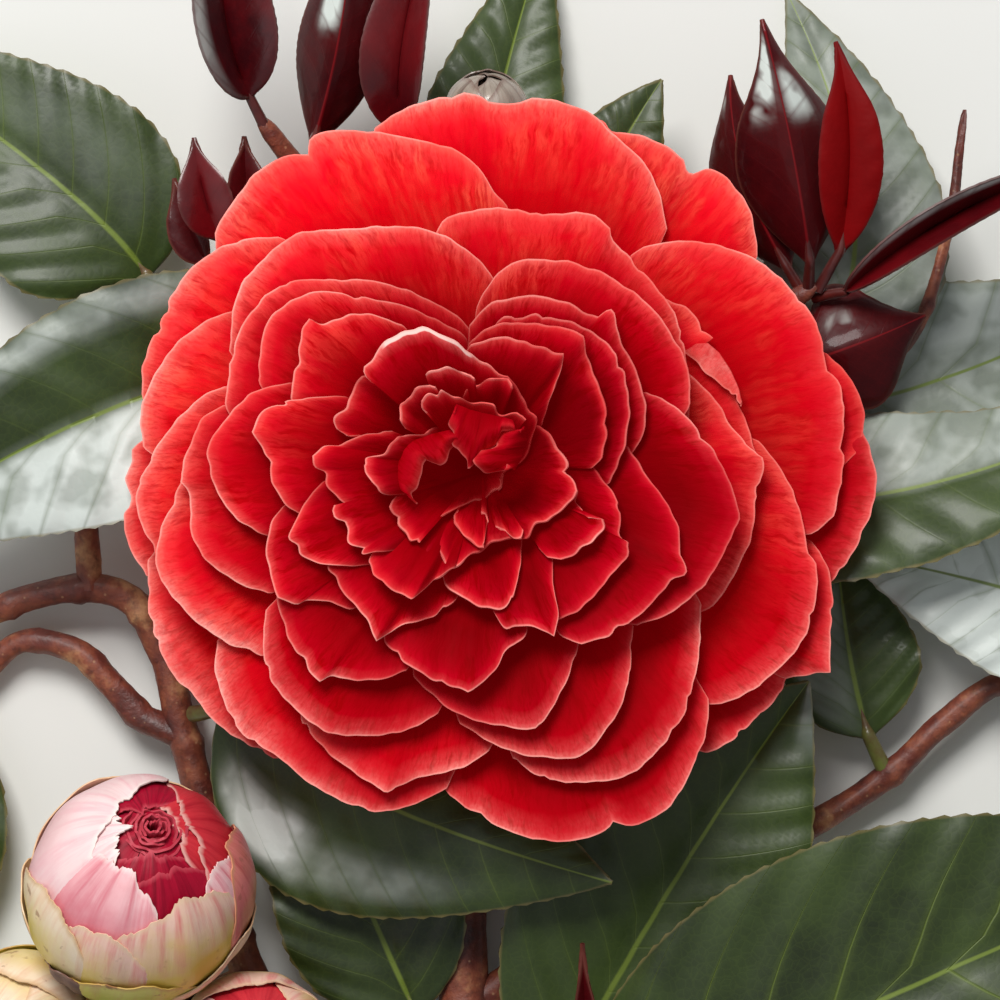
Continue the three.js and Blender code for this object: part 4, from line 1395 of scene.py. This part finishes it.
# %% Green leaves
# name, where the stalk starts, base, middle, tip, width, fold, roll
GREEN_LEAVES = [
    ("leaf_lower_right", (-0.1, -80.2, 5.6), (6, -75, 8), (22, -46, 14.6), (37.8, -22.2, 16.6), 36, 8),
    ("leaf_front_right", (-0.4, -86, 6), (8, -80.6, 12), (50.6, -57.6, 29.6), (89, -43, 18), 43, 9, -4),
    ("leaf_under_bloom", (-38, -26.6, 7.8), (-34.4, -25.8, 12), (-15, -36.8, 19.2), (13.6, -46.4, 22), 33,
     -14),
    ("leaf_bottom_dark", (-8.4, -67.6, 6), (-10.4, -64, 7), (-17.8, -47, 9.4), (-28, -22, 7.6), 24, 9),
    ("leaf_left", (-8.2, 22.8, 9.6), (-17, 19.6, 12.2), (-50, 10, 19.8), (-80, -7, 9), 30, 14),
    ("leaf_left_back", (-44.3, 23.3, 7.9), (-44, 28, 6.4), (-57, 41, 8), (-84, 60, 1.2), 28, 8),
    ("leaf_right_upper", (2.4, 9.4, 6.6), (9, 10, 8), (46, 12.4, 10.2), (84, 29, 1.6), 32, 8),
    ("leaf_right_middle", (2, 0.6, 8.2), (9, 0.4, 11.6), (48, 1, 17.4), (84, 15, 13), 23, 6, -26),
    ("leaf_right_lower", (92.4, -22, 6), (88, -19, 7.6), (65, -11.6, 11), (42, -6.4, 11.6), 24, 6),
    ("leaf_right_back", (48.2, -34, 4.7), (46, -29.4, 6), (43.4, -18, 6.4), (42, -4, 5.4), 18, 6),
    ("leaf_top_right_back", (34.6, 20.8, 13.6), (38.6, 17.6, 13.2), (43.8, 36, 11.8), (36, 64, 1.4), 24, 2),
    ("leaf_top", (-2.6, 19.4, 5.4), (-4.4, 23.6, 5.6), (-1, 46, 6.8), (6, 72, 1.2), 20, 9),
    ("leaf_top_small", (2, 21, 5.6), (6.4, 25.2, 7), (13, 40, 11), (20, 52, 11), 15, 6),
    ("leaf_far_left_upper", (-69.8, -17.7, 4.6), (-73.4, -20.4, 5), (-88, -28, 7.4), (-104, -42, 1.4), 27, 8),
    ("leaf_far_left_lower", (-66, -23.3, 3.3), (-67.6, -27, 4), (-76, -47, 5.2), (-84, -68, 1.2), 26, 8),
    ("leaf_below_buds", (-23.4, -78.6, 4), (-27, -81.4, 4), (-45, -87, 5.4), (-70, -90, 1.2), 26, 7),
    ("leaf_far_right", (92.9, -25.3, 4.8), (93.6, -30, 5), (99, -50, 8), (96, -76, 1.2), 28, 7),
]
VEIN_STRENGTHS = {"leaf_front_right": 0.6, "leaf_left_back": 0.25, "leaf_left": 0.1, "leaf_right_middle": 0.1}
LEAF_TONES = {"leaf_right_lower": 1.0, "leaf_left_back": 0.15, "leaf_right_upper": 0.6, "leaf_top": 0.6,
              "leaf_front_right": 0.0, "leaf_bottom_dark": 0.0,
              "leaf_right_middle": 0.5, "leaf_lower_right": 0.3, "leaf_right_back": 0.5}
for row in GREEN_LEAVES:
    leaf(*row, tone=LEAF_TONES.get(row[0], 0.1), veins=VEIN_STRENGTHS.get(row[0], 0.2))
print("green leaves:", len(GREEN_LEAVES))

# %% [markdown]
# ## The young leaves
#
# Two side shoots carry leaves that are still folded along their midribs, some like an open book and
# some nearly shut. They are narrow, drawn out to a point, and hardly toothed. A positive fold lifts
# both halves of the blade, a negative one lets them hang. Beside the left shoot stand three small
# bracts that once closed round its bud, and one spike starts low on the main stem.

# %% Young leaves
# name, where the stalk starts, base, middle, tip, width, fold, roll
YOUNG_LEAVES = [
    ("left_young_leaf_outer", (-29, 46.2, 21.4), (-30.4, 49, 22.6), (-33.4, 60, 25), (-34.6, 78, 22), 16, 50,
     14),
    ("left_young_leaf_middle", (-21.4, 39.6, 19), (-22.6, 43.4, 22), (-19, 58, 26), (-17.6, 74, 23), 15, -45),
    ("left_young_leaf_inner", (-11.4, 31.6, 13.6), (-12, 45, 19), (-11.6, 57, 22), (-7, 73, 20), 12, 45, -16),
    ("left_bract_long", (-33.2, 30.4, 18.6), (-34.2, 32, 19.8), (-36, 37.4, 21.4), (-37.2, 44, 21.2), 8, 30),
    ("left_bract_low", (-34, 28.8, 17), (-35.8, 29, 16.8), (-38.2, 33.4, 16.8), (-40, 39.4, 16.4), 6, 30,
     -20),
    ("left_bract_high", (-30.6, 31.9, 17.5), (-30.6, 34, 18.2), (-31, 38.8, 18.6), (-31.2, 44.4, 18.6), 6, 30,
     10),
    ("right_young_leaf_left", (36, 26.8, 18.2), (35, 28.4, 18.6), (29.6, 40, 20), (28.2, 52, 17), 15, -40,
     -14),
    ("right_young_leaf_tall", (37.6, 27, 20.2), (37.6, 29, 22), (35, 43, 26.6), (31.6, 58, 25), 18, -40),
    ("right_young_leaf_crimson", (39.4, 26.8, 19.4), (41.4, 30.4, 21), (42.2, 43.4, 24.6), (40.6, 55.4, 24),
     8.8, 22, 4),
    ("right_young_leaf_arched", (39.6, 25, 18.2), (42, 25.4, 19.6), (56, 35, 24), (74, 42, 18), 12, 68),
    ("right_young_leaf_drooping", (33.4, 21.2, 18), (36.6, 16.6, 18.6), (44.6, 19.4, 20), (52, 22.6, 17.6),
     18.5, -26),
    ("lower_young_spike", (0.9, -92, 6.6), (12, -76.6, 18.6), (10.6, -65, 20), (10, -53.8, 22), 6, 50),
]
YOUNG_FACES = {"right_young_leaf_crimson": young_crimson, "left_young_leaf_outer": young_dark_red,
               "left_young_leaf_inner": young_dark_red, "right_young_leaf_arched": young_dark_red,
               "left_bract_long": young_dark_red}
for row in YOUNG_LEAVES:
    leaf(*row, faces=(YOUNG_FACES.get(row[0], young_upper), young_lower), slot="young_leaf", thickness=0.5,
         tooth=0.12, tooth_mm=1.2, quilt=0.05, wave=0.3, drawn_out=0.45,
         veins=0.0 if row[0] == "right_young_leaf_crimson" else 0.1)
print("young leaves:", len(YOUNG_LEAVES))

# %% [markdown]
# ## Stems
#
# The wood is reddish brown and dull, with a fine grain, pale specks that let it breathe, and a
# swollen ring wherever a leaf once sat. Young shoots have the same bark on a thinner tube. One could
# paint all of that, but the larger lumps and rings show in the outline. So the finish has the grain,
# the patches and the specks, and the rest is left to the tube itself.

# %% Bark finish
bark_finish, tree, shader = new_material("bark", Roughness=0.6, Coat_Weight=0.12, Coat_Roughness=0.3)
here = surface_place(tree)
bark_grain = noise(tree, here, 900.0, 4.0, 0.65)
bark_patch = noise(tree, here, 150.0, 4.0, 0.6)
specks = node(tree, "TexVoronoi", {"Vector": here, "Scale": 620.0}, feature="F1").outputs["Distance"]
bark_colour = ramp(tree, bark_patch, [
    (0.3, ink(62, 26, 22)), (0.45, ink(104, 44, 32)), (0.57, ink(138, 72, 48)), (0.68, ink(186, 134, 92))])
bark_colour = blend(tree, span(tree, bark_grain, 0.5, 0.72, 0.0, 0.55), bark_colour, ink(52, 26, 20))
bark_colour = blend(tree, span(tree, specks, 0.13, 0.07, 0.0, 0.4), bark_colour, ink(190, 150, 112))
bark_height = math_node(tree, "ADD", bark_grain, times(tree, bark_patch, 1.4))
plug(tree, shader, bark_colour, span(tree, bark_patch, 0.3, 0.7, 0.42, 0.7), bark_height, 0.2)
print("bark finish made")

# %% [markdown]
# ## One stem
#
# A stem is never quite round: it has ridges that wind slowly round it, lumps, and a ring at each
# place where a leaf fell. Sculpting that by hand would take hours. Sums of a few sine waves over the
# angle and the length give the same uneven look, and seeded numbers make each stem its own. A side
# stem starts inside its parent, so that the fork has no gap.

# %% Make a stem
STEM_AROUND = 20
STEM_STEP_MM = 0.7
BARK_RELIEF_MM = 0.16
RING_HEIGHT = 2.6
RING_WIDTH_MM = 0.9
CARRY_ON_MM = 1.2
ROUNDED_END = (0.95, 0.85, 0.65, 0.35)


def stem(name, path, radius_from, radius_to, sunk, rings):
    """A stem that stands for the plain solid of the same name. Its start reaches back into its parent,
    and a stalk or shoot runs on a little, with a rounded end."""
    dice = random.Random(name)
    path = through(path, 12)
    runs_on = name.endswith(("bud_stalk", "shoot_stem", "far_shoot"))
    if sunk:
        path = np.concatenate([[path[0] - unit(path[1] - path[0]) * sunk], path])
    if runs_on:
        path = np.concatenate([path, [path[-1] + unit(path[-1] - path[-2]) * CARRY_ON_MM]])
    path = along(path, max(int(distance_along(path)[-1] / STEM_STEP_MM), 8))
    radii = np.linspace(radius_from, radius_to, len(path))
    if runs_on:
        radii[-4:] *= ROUNDED_END
    turns = [dice.random() * FULL_TURN for _ in range(8)]

    def swell(angle, length):
        ridges = sum(math.sin(turns[k]) * 0.2 * np.sin((k + 2) * angle + turns[k] + 0.16 * (k + 1) * length)
                     for k in range(4))
        lumps = np.sin(length * 0.55 + turns[4]) * np.sin(2 * angle + turns[5]) * 0.5
        rough = np.sin(7 * angle + length * 1.3 + turns[6]) * np.sin(length * 2.1 + turns[7]) * 0.35
        swollen = sum(RING_HEIGHT * np.exp(-((length - ring) / RING_WIDTH_MM) ** 2) for ring in rings)
        swollen = swollen * (0.55 + 0.45 * np.cos(angle - turns[1]))
        return BARK_RELIEF_MM * (ridges + lumps + rough + swollen)

    piece = tube(name + "_bark", path, radii, bark_finish, around=STEM_AROUND, swell=swell)
    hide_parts(name)


print("a stem has", STEM_AROUND, "points round it and a ring of them every", STEM_STEP_MM, "mm")

# %% [markdown]
# ## The woody frame
#
# The main stem lies on the floor from its cut end to the bloom. Twigs fork off it to the left and
# right, and short stalks rise from them to the buds and the young shoots. The paths repeat those of
# the plain solids point by point, so leaves and buds meet their twigs where they did before.

# %% Stems
# name, path, radius at the start and at the end, how far it reaches back, and where its rings are
STEMS = [
    ("main_stem", [(-3, -100, 3.6), (-3, -92, 3.6), (-4, -76, 4.4), (-4.6, -56, 5), (-3, -26, 5.6),
                   (-0.5, 4, 6.6), (0, 19, 7.2)], 3.5, 2.1, 0, (16, 37, 58, 84)),
    ("left_twig", [(-8.7, -87.2, 4.6), (-20, -76, 4.6), (-31, -60, 4.8), (-35.6, -43, 5.2),
                   (-39.6, -29, 5.4), (-41.6, -20, 5.6)], 2.5, 1.9, 6, (20, 34, 47, 62, 72)),
    ("left_fork_upper", [(-41.9, -19.3, 5.6), (-45.2, -13.2, 6.4), (-51, -10.9, 6.8), (-60, -12.6, 6),
                         (-69, -17, 4.6)], 2, 1.5, 2, (8, 17, 26)),
    ("left_fork_lower", [(-43, -28, 5.1), (-45, -27, 5), (-48.6, -23, 5), (-53, -18.9, 4.8),
                         (-60, -17.8, 3.6), (-65.5, -22.4, 3.2)], 1.8, 1.4, 3, (6, 14, 22)),
    ("left_riser", [(-51.2, -8.7, 7.2), (-51.4, -2, 7.6), (-50, 10, 8), (-44.5, 22, 8)], 1.6, 1.1, 2.5,
     (10, 22)),
    ("right_twig", [(0, -60.6, 4.6), (7, -55.5, 4.4), (24, -48, 4.2), (38.4, -41, 4.2), (48.6, -34.4, 4.4),
                    (55.4, -28, 4.6), (64, -22.5, 4.8), (80, -22.6, 5), (92, -24.4, 5)], 1.9, 1.3, 4,
     (24, 44, 60, 78, 96)),
    ("left_shoot_stem", [(-2.4, 20.6, 8), (-13, 30.5, 12.5), (-23.6, 39.6, 18), (-28.6, 45.6, 21)], 1.7,
     1.1, 3, (14, 28)),
    ("left_shoot_spur", [(-21.2, 34, 14.4), (-26, 31.6, 15.6), (-32.6, 29.8, 17.4)], 1.1, 0.9, 2.5, ()),
    ("right_shoot_stem", [(2.6, 17.6, 8), (19, 21.6, 12.6), (32.4, 23, 16.6), (37.6, 25.6, 19)], 1.7, 1.2, 3,
     (16, 33)),
    ("far_shoot", [(37.6, 21.4, 15.2), (45, 16.6, 15.4), (51, 20.6, 15.2), (55, 33, 14.8), (57, 46.8, 14.4)],
     0.9, 0.5, 2, (9, 22)),
    ("top_bud_stalk", [(0, 20.6, 9.4), (-1, 30, 12.2), (-1.6, 41.3, 16.7)], 1.2, 0.9, 2.5, ()),
    ("main_bud_stalk", [(-36.8, -50, 7), (-42, -54.6, 9), (-45.3, -55.2, 11.4)], 1.5, 1.7, 2.5, ()),
    ("left_bud_stalk", [(-33.6, -60.4, 4), (-44, -64.6, 4.4), (-53.4, -66, 6.6)], 1.4, 1.5, 3, (8,)),
    ("right_bud_stalk", [(-22.6, -77.6, 6.2), (-27, -79, 7), (-30.8, -77, 7.6), (-31.4, -74.6, 8.9)], 1.3,
     1.4, 2.5, ()),
]
for row in STEMS:
    stem(*row)
print("stems:", len(STEMS))

# %% [markdown]
# ## Buds
#
# A camellia bud is a ball of overlapping scales. The outer ones are small, tough and cream to green,
# with brown dots. Where the bud is about to open they give way to pale pink petals, and at its tip
# a swirl of furled crimson ones shows. Each scale is a patch of a slightly swollen ball, wrapped
# round the bud's axis; the next one inwards lies a little deeper and reaches nearer to the tip.

# %% Bud finishes
def scale_material(name, low_colour, high_colour, rim_colour, streak_colour, spots, change=(0.55, 1.15),
                   **settings):
    """The finish of a bud scale: its colour changes from base to rim, and streaks run along it."""
    material, tree, shader = new_material(name, **settings)
    across, outward = uv(tree, "place")
    rim_mm, own_number = uv(tree, "rim")
    here = surface_place(tree)
    fan = node(tree, "CombineXYZ", {0: times(tree, across, 16.0), 1: times(tree, outward, 2.2),
                                    2: times(tree, own_number, 17.0)}).outputs[0]
    streaks = noise(tree, fan, 1.0, 4.0, 0.6)
    cloud = noise(tree, here, 130.0, 4.0, 0.6)
    fleck = noise(tree, here, 420.0, 3.0, 0.55)
    upper = span(tree, math_node(tree, "ADD", outward, times(tree, cloud, 0.5)), *change)
    colour = blend(tree, upper, low_colour, high_colour)
    marked = times(tree, span(tree, streaks, 0.46, 0.72, 0.0, 0.8), span(tree, upper, 0.1, 0.9))
    colour = blend(tree, marked, colour, streak_colour)
    colour = blend(tree, span(tree, rim_mm, 0.8, 0.1, 0.0, 0.65), colour, rim_colour)
    colour = blend(tree, span(tree, cloud, 0.55, 0.7, 0.0, spots * 0.6), colour, ink(206, 150, 84))
    colour = blend(tree, span(tree, fleck, 0.64, 0.7, 0.0, spots), colour, ink(138, 78, 34))
    height = math_node(tree, "ADD", streaks, times(tree, fleck, 0.5))
    plug(tree, shader, colour, span(tree, cloud, 0.3, 0.7, 0.34, 0.52), height, 0.1)
    return material


bud_white = scale_material("bud_white", ink(228, 158, 166), ink(244, 214, 214), ink(250, 236, 228),
                           ink(234, 168, 178), 0.05, Roughness=0.45)
bud_rose = scale_material("bud_rose", ink(206, 56, 88), ink(244, 190, 194), ink(250, 228, 222),
                          ink(212, 74, 100), 0.0, (0.8, 1.25), Roughness=0.42)
bud_pink = scale_material("bud_pink", ink(220, 178, 124), ink(230, 128, 126), ink(216, 160, 112),
                          ink(190, 44, 62), 0.3, (0.75, 1.1), Roughness=0.42)
bud_red = scale_material("bud_red", ink(172, 18, 38), ink(204, 52, 62), ink(244, 204, 192),
                         ink(152, 10, 34), 0.0, Roughness=0.42, Specular_IOR_Level=0.15)
bud_crimson = scale_material("bud_crimson", ink(112, 2, 26), ink(166, 14, 46), ink(206, 80, 94),
                             ink(92, 0, 20), 0.0, Roughness=0.5, Specular_IOR_Level=0.15)
bud_blush = scale_material("bud_blush", ink(220, 190, 84), ink(240, 198, 180), ink(236, 206, 170),
                           ink(218, 84, 98), 0.3, (0.92, 1.2), Roughness=0.45)
bud_cream = scale_material("bud_cream", ink(222, 196, 90), ink(240, 218, 190), ink(214, 172, 120),
                           ink(228, 180, 146), 0.6, (0.88, 1.18), Roughness=0.45)
bud_lime = scale_material("bud_lime", ink(168, 186, 72), ink(206, 196, 92), ink(190, 140, 80),
                          ink(200, 150, 96), 0.8, (0.6, 1.2), Roughness=0.45)
bud_plum = scale_material("bud_plum", ink(104, 66, 58), ink(78, 36, 52), ink(128, 92, 76),
                          ink(56, 24, 40), 0.2, Roughness=0.5)
bud_silver = scale_material("bud_silver", ink(120, 104, 88), ink(150, 138, 126), ink(96, 60, 48),
                            ink(88, 66, 56), 0.3, Roughness=0.26, Coat_Weight=0.5, Coat_Roughness=0.15)
print("ten bud finishes made")

# %% [markdown]
# ## One bud scale, and rings of them
#
# A ball with a painted pattern would look like a marble. What makes a bud is the edges of its
# scales, one over the next. So each scale is a thin sheet of its own, a patch of the ball given by
# angles, as on a globe: how far round the axis, and how far down from the tip. Its rim is uneven,
# and it thins towards the rim. At the tip, furled petals stand as short rolled cones, one inside the
# next.

# %% Make a bud
SCALE_ROWS = 22
SCALE_COLUMNS = 49
BUD_STRETCH = 1.06
SHOULDER_CURVE = 1.9
SCALE_BASE = 168.0
RING_STEP_MM = 0.08
FURLED_ROWS = 12
FURLED_COLUMNS = 31
FURLED_SPREAD = 118
FURLED_TURN = 137
FURLED_HEIGHT_MM = (3.4, 1.7)


def bud_axes(axis):
    """The bud's axis and two directions square to it."""
    ahead = unit(np.array(axis, float))
    side = unit(np.cross((0.0, 1.0, 0.2), ahead))
    return ahead, side, np.cross(ahead, side)


def bud_scale(name, centre, axis, radius, turn, spread, tip, shoulder, material, ragged, flare=0.0,
              base=SCALE_BASE):
    """One scale. turn is its place round the axis and spread its half width; tip and shoulder are the
    angles from the bud's tip that its rim reaches in the middle and at its sides. All in degrees."""
    dice = random.Random(name)
    ahead, side, other = bud_axes(axis)
    u = np.linspace(-1, 1, SCALE_COLUMNS)
    v = np.linspace(0, 1, SCALE_ROWS) ** 0.8
    rim = tip + (shoulder - tip) * np.abs(u) ** SHOULDER_CURVE
    rim = rim + waves(dice, (u + 1) * 0.8, 3, ragged * 2.2) + waves(dice, (u + 1) * 3.1, 5, ragged * 0.8)
    polar = np.radians(base + (rim - base)[None] * v[:, None])
    narrow = 0.35 + 0.65 * smooth_step(0, 0.4, v)
    azimuth = np.radians(turn + spread * u[None] * narrow[:, None])
    edge_mm = radius * np.radians(np.abs(rim - base))[None] * (1 - v)[:, None]
    side_mm = radius * np.radians(spread) * (1 - np.abs(u))[None] * np.sin(polar)
    edge_mm = np.minimum(edge_mm, side_mm + 0.2)
    out = radius * (1 + 0.012 * waves(dice, (u + 1) * 0.8, 3, 1.0))[None]
    out = out + flare * smooth_step(3.5, 0, edge_mm)
    out = out - 0.25 * np.abs(u)[None] ** 3
    grid = (np.array(centre, float)
            + ahead * (out * BUD_STRETCH * np.cos(polar))[..., None]
            + side * (out * np.sin(polar) * np.cos(azimuth))[..., None]
            + other * (out * np.sin(polar) * np.sin(azimuth))[..., None])
    thickness = 0.16 + 0.24 * smooth_step(0, 2, edge_mm)
    layers = {"place": np.broadcast_arrays((u[None] + 1) / 2, v[:, None]),
              "rim": (edge_mm, np.full_like(edge_mm, dice.random()))}
    piece = sheet(name, grid, thickness, layers, [material])
    return piece


def whorl(bud, kind, centre, axis, radius, count, start, spread, tip, shoulder, materials, **more):
    """Scales spaced evenly round a bud, at three depths in turn."""
    made = []
    for k in range(count):
        turn = start + 360 / count * k
        material = materials[k % len(materials)]
        made.append(bud_scale(f"{bud}_{kind}_{k + 1}", centre, axis, radius - RING_STEP_MM * (k % 3), turn,
                              spread, tip, shoulder, material, **more))
    return made


def swirl(bud, centre, axis, radius, tilt, size, count, material):
    """Furled petals at a bud's tip, tilted off its axis: short rolled cones, one inside the next."""
    ahead, side, _ = bud_axes(axis)
    direction = unit(ahead * math.cos(math.radians(tilt)) + side * math.sin(math.radians(tilt)))
    first, second = bud_axes(direction)[1:]
    foot = np.array(centre, float) + direction * (radius * 0.94 - 3.2)
    u = np.linspace(-1, 1, FURLED_COLUMNS)[None]
    v = np.linspace(0, 1, FURLED_ROWS)[:, None]
    for k in range(count):
        dice = random.Random(bud + str(k))
        part = k / count
        around = np.radians(FURLED_TURN * k + FURLED_SPREAD * u)
        wide = size * (1 - 0.93 * part) * (0.45 + 0.55 * v**0.7) * (1 + waves(dice, u + 1, 4, 0.05))
        high = (FURLED_HEIGHT_MM[0] + FURLED_HEIGHT_MM[1] * part) * v * (1 - 0.16 * u**2)
        high = high + 0.22 * v * waves(dice, u + 1, 4, 1.0)
        grid = (foot + direction * high[..., None]
                + first * (wide * np.cos(around))[..., None] + second * (wide * np.sin(around))[..., None])
        edge = np.broadcast_to((1 - v) * 4, high.shape)
        layers = {"place": np.broadcast_arrays((u + 1) / 2, v), "rim": (edge, np.full_like(edge, part))}
        piece = sheet(f"{bud}_furled_{k + 1}", grid, 0.3, layers, [material])


print("a scale has", SCALE_ROWS, "rows of", SCALE_COLUMNS, "points")

# %% [markdown]
# ## The three flower buds
#
# The largest bud is about to open, so each of its scales is different, and the table gives them one
# by one, from the furled middle outwards: crimson and red petals, a white-pink shoulder, then the
# blushed and cream scales, and yellow-green and plum brown sepals at the bottom. The turn counts
# from the right, seen from above, by way of the far side.

# %% Flower buds
def scales(bud, centre, axis, radius, rows):
    """One scale for each row: kind, turn, half width, tip, shoulder, how much deeper, finish, raggedness."""
    made = {}
    for kind, turn, spread, tip, shoulder, deeper, material, ragged in rows:
        made[kind] = bud_scale(f"{bud}_{kind}", centre, axis, radius - deeper, turn, spread, tip, shoulder,
                               material, flare=0.1, ragged=ragged)
    return made


MAIN_BUD = ((-43.6, -46.8, 24), (0.16, 0.59, 0.79), 13.3)
MAIN_BUD_SCALES = [
    ("core", 60, 179, 5, 5, 1.2, bud_crimson, 0.2),
    ("inner_low", 268, 62, 15, 30, 0.85, bud_crimson, 0.7),
    ("inner_right", 20, 66, 13, 26, 0.75, bud_red, 0.8),
    ("inner_left", 176, 44, 14, 26, 0.38, bud_white, 1.3),
    ("inner_far", 95, 58, 12, 24, 0.65, bud_crimson, 0.7),
    ("petal_crimson", 282, 46, 25, 40, 0.5, bud_crimson, 0.7),
    ("petal_red", 12, 56, 19, 44, 0.4, bud_red, 1.1),
    ("petal_rose", 226, 44, 25, 46, 0.25, bud_rose, 1.2),
    ("shoulder_white", 140, 72, 19, 44, 0.1, bud_white, 0.9),
    ("scale_right_rose", 330, 34, 40, 62, 0.0, bud_rose, 0.9),
    ("scale_blush", 292, 46, 43, 64, -0.25, bud_blush, 1.1),
    ("scale_right", 352, 36, 42, 80, -0.5, bud_pink, 0.7),
    ("scale_low_left", 236, 34, 62, 80, -0.3, bud_blush, 0.7),
    ("scale_left", 203, 40, 64, 92, -0.55, bud_cream, 0.6),
    ("scale_far", 95, 64, 66, 90, -0.3, bud_cream, 0.6),
    ("sepal_low", 262, 46, 90, 108, -0.75, bud_lime, 0.6),
    ("sepal_right", 325, 42, 88, 110, -0.85, bud_cream, 0.5),
    ("sepal_left", 226, 24, 98, 122, -1.0, bud_plum, 0.4),
    ("sepal_far_left", 170, 46, 96, 118, -0.8, bud_cream, 0.5),
    ("sepal_far", 70, 60, 96, 120, -0.9, bud_plum, 0.5),
]
swirl("main_bud", *MAIN_BUD, 2, 3.9, 9, bud_crimson)
made = scales("main_bud", *MAIN_BUD, MAIN_BUD_SCALES)
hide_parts("main_bud")

LEFT_BUD = ((-58.6, -64.6, 15.6), (-0.4, 0.1, 0.9), 8.9)
LEFT_BUD_SCALES = [
    ("core", 60, 179, 6, 6, 1.2, bud_rose, 0.2),
    ("petal_near", 250, 70, 12, 40, 0.5, bud_white, 0.6),
    ("petal_far", 70, 72, 12, 40, 0.4, bud_cream, 0.6),
    ("petal_right", 0, 56, 22, 50, 0.1, bud_cream, 0.6),
    ("scale_left", 170, 60, 30, 66, -0.1, bud_cream, 0.5),
    ("scale_near", 285, 58, 40, 74, -0.3, bud_blush, 0.5),
    ("scale_far", 80, 62, 42, 76, -0.4, bud_cream, 0.5),
    ("sepal_right", 10, 50, 84, 110, -0.7, bud_lime, 0.4),
    ("sepal_near", 250, 52, 90, 116, -0.8, bud_plum, 0.4),
    ("sepal_far", 120, 56, 88, 114, -0.9, bud_lime, 0.4),
]
swirl("left_bud", *LEFT_BUD, 0, 2.0, 3, bud_rose)
made = scales("left_bud", *LEFT_BUD, LEFT_BUD_SCALES)
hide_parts("left_bud")

RIGHT_BUD = ((-30, -68.4, 19.7), (0.1, 0.45, 0.88), 10.7)
RIGHT_BUD_SCALES = [
    ("core", 60, 179, 6, 6, 1.6, bud_crimson, 0.2),
    ("inner_near", 260, 66, 14, 32, 0.9, bud_crimson, 0.8),
    ("inner_far", 90, 70, 13, 30, 0.8, bud_red, 0.8),
    ("petal_left", 190, 58, 18, 44, 0.4, bud_rose, 0.9),
    ("petal_right", 10, 60, 20, 48, 0.3, bud_blush, 0.8),
    ("petal_near", 280, 52, 26, 52, 0.1, bud_rose, 0.9),
    ("scale_far", 95, 62, 36, 72, 0.0, bud_blush, 0.6),
    ("scale_left", 205, 52, 48, 80, -0.3, bud_blush, 0.6),
    ("scale_near", 300, 50, 56, 84, -0.4, bud_cream, 0.6),
    ("sepal_right", 10, 54, 88, 112, -0.7, bud_lime, 0.4),
    ("sepal_near", 250, 52, 92, 116, -0.8, bud_lime, 0.4),
    ("sepal_far", 130, 56, 90, 114, -0.9, bud_plum, 0.4),
]
swirl("right_bud", *RIGHT_BUD, 0, 2.8, 4, bud_crimson)
made = scales("right_bud", *RIGHT_BUD, RIGHT_BUD_SCALES)
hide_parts("right_bud")
print("scales of the three buds:", len(MAIN_BUD_SCALES), len(LEFT_BUD_SCALES), len(RIGHT_BUD_SCALES))

# %% [markdown]
# ## The small bud at the top
#
# Behind the bloom's far rim shows a small tight bud with glossy brownish scales. Its scales are all
# alike, so rings of equal ones do: three inside, three over their joints, and four sepals below.

# %% Top bud
TOP_BUD = ((-1.6, 46.8, 19), (0, 0.85, 0.4), 5.1)
whorl("top_bud", "inner", *TOP_BUD[:2], TOP_BUD[2] - 0.2, 3, 60, 88, 3, 50, [bud_silver], ragged=0.3)
top_scales = whorl("top_bud", "scale", *TOP_BUD[:2], TOP_BUD[2] + 0.15, 3, 90, 84, 24, 74, [bud_silver],
                   flare=0.15, ragged=0.3)
whorl("top_bud", "sepal", *TOP_BUD[:2], TOP_BUD[2] + 0.4, 4, 20, 56, 82, 112, [bud_silver, bud_plum],
      flare=0.2, ragged=0.3)
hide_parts("top_bud")
print("buds made")

# %% [markdown]
# ## The calyx
#
# Below the bloom, five small overlapping sepals hold the petals' bases. They hardly show from above,
# but the spray is seen from its sides as well. They are bud scales of a flat, wide bud.

# %% Calyx
CALYX = ((0.0, 4.0, 17.2), (0.0, 0.0, 1.0), 7.2)
sepals = whorl("calyx", "sepal", *CALYX, 5, 12, 44, 62, 88, [bud_lime, bud_cream], base=170, flare=0.5,
               ragged=0.5)
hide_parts("calyx")
print("calyx made")
